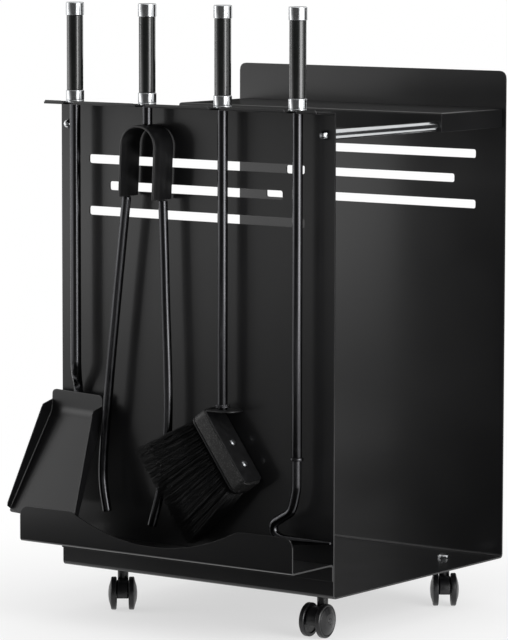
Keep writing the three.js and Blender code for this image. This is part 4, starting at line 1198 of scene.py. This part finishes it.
# %% The floor and the world
FLOOR_RADIUS = 30.0  # metres
floor_mesh = bpy.data.meshes.new("floor")
a = np.linspace(0, 2 * np.pi, 96, endpoint=False)
ring_points = np.stack([np.cos(a), np.sin(a), 0 * a], axis=1) * FLOOR_RADIUS
floor_mesh.from_pydata(ring_points.tolist(), [], [list(range(96))])
floor = bpy.data.objects.new("floor", floor_mesh)
bpy.context.scene.collection.objects.link(floor)
floor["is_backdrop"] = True


def strength_seen(tree, unseen):
    """1 for rays from the camera, from a reflection or through a clear material, and unseen for
    the rest."""
    path_kind = add_node(tree, "ShaderNodeLightPath")
    seen = path_kind.outputs["Is Camera Ray"]
    for kind in ("Is Glossy Ray", "Is Transmission Ray"):
        seen = add_node(
            tree, "ShaderNodeMath", {0: seen, 1: path_kind.outputs[kind]}, operation="MAXIMUM",
        ).outputs[0]
    return add_node(
        tree, "ShaderNodeMapRange", {"Value": seen, "To Min": unseen},
    ).outputs["Result"]


floor_finish, tree, shader = new_material("floor_finish")
tree.nodes.remove(shader)
place = add_node(tree, "ShaderNodeTexCoord").outputs["Object"]
distance = add_node(tree, "ShaderNodeVectorMath", {0: place}, operation="LENGTH").outputs["Value"]
far_share = add_node(
    tree, "ShaderNodeMapRange",
    {"Value": distance, "From Min": 0.15, "From Max": 0.75, "To Min": 0.6, "To Max": 1.0},
    interpolation_type="SMOOTHSTEP",
).outputs["Result"]
matt = add_node(tree, "ShaderNodeBsdfDiffuse", {"Color": colour("#f6f6f6")})
far_white = add_node(tree, "ShaderNodeEmission", {
    "Color": (1, 1, 1, 1), "Strength": strength_seen(tree, 0.7),
})
mixed = add_node(
    tree, "ShaderNodeMixShader", {0: far_share, 1: matt.outputs[0], 2: far_white.outputs[0]},
)
tree.links.new(mixed.outputs[0], tree.nodes["Material Output"].inputs["Surface"])
floor_mesh.materials.append(floor_finish)

world = bpy.data.worlds.new("studio")
bpy.context.scene.world = world
world.use_nodes = True
tree = world.node_tree
background = tree.nodes["Background"]
background.inputs["Color"].default_value = (1, 1, 1, 1)
tree.links.new(strength_seen(tree, 0.62), background.inputs["Strength"])
print("floor and world are in place")

# %% Lamps and cards
cart_middle = np.array([0, 180, 300]) / 1000 + cart_zero


def around(azimuth, distance, height):
    """A place round the cart: azimuth in degrees from the tools' side towards the right."""
    a = np.radians(azimuth)
    return cart_middle * [1, 1, 0] + [distance * np.sin(a), -distance * np.cos(a), height]


def aimed(place, target):
    """The matrix of something at place that looks at target along its own -Z, with Y up."""
    z = (place - target) / np.linalg.norm(place - target)
    x = np.cross([0, 0, 1.0], z)
    x /= np.linalg.norm(x)
    made = np.eye(4)
    made[:3, :3] = np.stack([x, np.cross(z, x), z], axis=1)
    made[:3, 3] = place
    return Matrix(made.tolist())


def add_lamp(name, place, width, height, power):
    """A soft rectangular lamp that looks at the cart's middle."""
    lamp = bpy.data.objects.new(name, bpy.data.lights.new(name, "AREA"))
    lamp.data.shape = "RECTANGLE"
    lamp.data.size, lamp.data.size_y, lamp.data.energy = width, height, power
    lamp.matrix_world = aimed(place, cart_middle)
    bpy.context.scene.collection.objects.link(lamp)


add_lamp("key", around(77, 1.9, 0.75), width=1.1, height=1.7, power=32)
add_lamp("fill", around(-55, 2.0, 0.9), width=0.9, height=1.2, power=10)


def add_card(name, place, width, height, target, shade):
    """A card that only reflections see: it glows in its given shade, unseen by the camera, shadows
    and matt surfaces.
    """
    x, y = width / 2, height / 2
    mesh = bpy.data.meshes.new(name)
    mesh.from_pydata([(-x, -y, 0), (x, -y, 0), (x, y, 0), (-x, y, 0)], [], [(0, 1, 2, 3)])
    card = bpy.data.objects.new(name, mesh)
    bpy.context.scene.collection.objects.link(card)
    card.matrix_world = aimed(place, target)
    finish, tree, shader = new_material(name)
    tree.nodes.remove(shader)
    glow = add_node(tree, "ShaderNodeEmission", {"Color": colour(shade), "Strength": 1.0})
    tree.links.new(glow.outputs[0], tree.nodes["Material Output"].inputs["Surface"])
    mesh.materials.append(finish)
    card.visible_camera = card.visible_diffuse = card.visible_shadow = False
    card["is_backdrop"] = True
    return tree, glow


for name, azimuth, distance, level, width, height, shade in (
    ("front_card", 8, 1.7, 0.85, 2.9, 1.7, "#505050"),
    ("upper_card", -25, 1.5, 1.9, 2.4, 1.0, "#707070"),
    ("rear_right_card", 143, 1.7, 0.6, 1.3, 1.2, "#303030"),
    ("rear_left_card", 217, 1.7, 0.8, 1.5, 1.6, "#262626"),
):
    add_card(name, around(azimuth, distance, level), width, height, cart_middle, shade)
add_card("floor_card", around(8, 1.05, 0.004), 1.5, 1.5, around(8, 1.049, -1.0), "#303030")

# %% The card that the near wall mirrors
# A white card whose glow is painted to fall off: brighter on one side than the other, brightest in a
# band in its lower half, darkest at its foot and dim over its upper half; the near wall mirrors this
# painted light.
tree, glow = add_card(
    "wall_card", around(-36.4, 1.5, 0.7), 1.15, 1.4, around(-36.4, 0, 0.7), "#ffffff",
)
along = add_node(
    tree, "ShaderNodeSeparateXYZ", {0: add_node(tree, "ShaderNodeTexCoord").outputs["Object"]},
)
strength = None
for axis, start, end, low, high in (
    ("X", -0.12, 0.20, 1.9, 0.45), ("Y", -0.66, -0.34, 0.1, 1.0), ("Y", -0.30, 0.0, 1.0, 0.3),
):
    fall = add_node(tree, "ShaderNodeMapRange", {
        "Value": along.outputs[axis], "From Min": start, "From Max": end,
        "To Min": low, "To Max": high,
    }).outputs["Result"]
    strength = fall if strength is None else add_node(
        tree, "ShaderNodeMath", {0: strength, 1: fall}, operation="MULTIPLY",
    ).outputs[0]
tree.links.new(strength, glow.inputs["Strength"])

# %% [markdown]
# ## Sizes
#
# The dressed cart's box is set against the CAD model's box: the last cell prints, in millimetres, how
# far each corner of the one lies from the same corner of the other.

# %% The sizes against the CAD box
dressed_box = [list(corner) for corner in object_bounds()]
for label, index in (("lowest", 0), ("highest", 1)):
    step = (np.array(dressed_box[index]) - np.array(cad_box[index])) * 1000
    print(label, "corner of the dressed cart less the CAD box, in mm:", step.round(2))
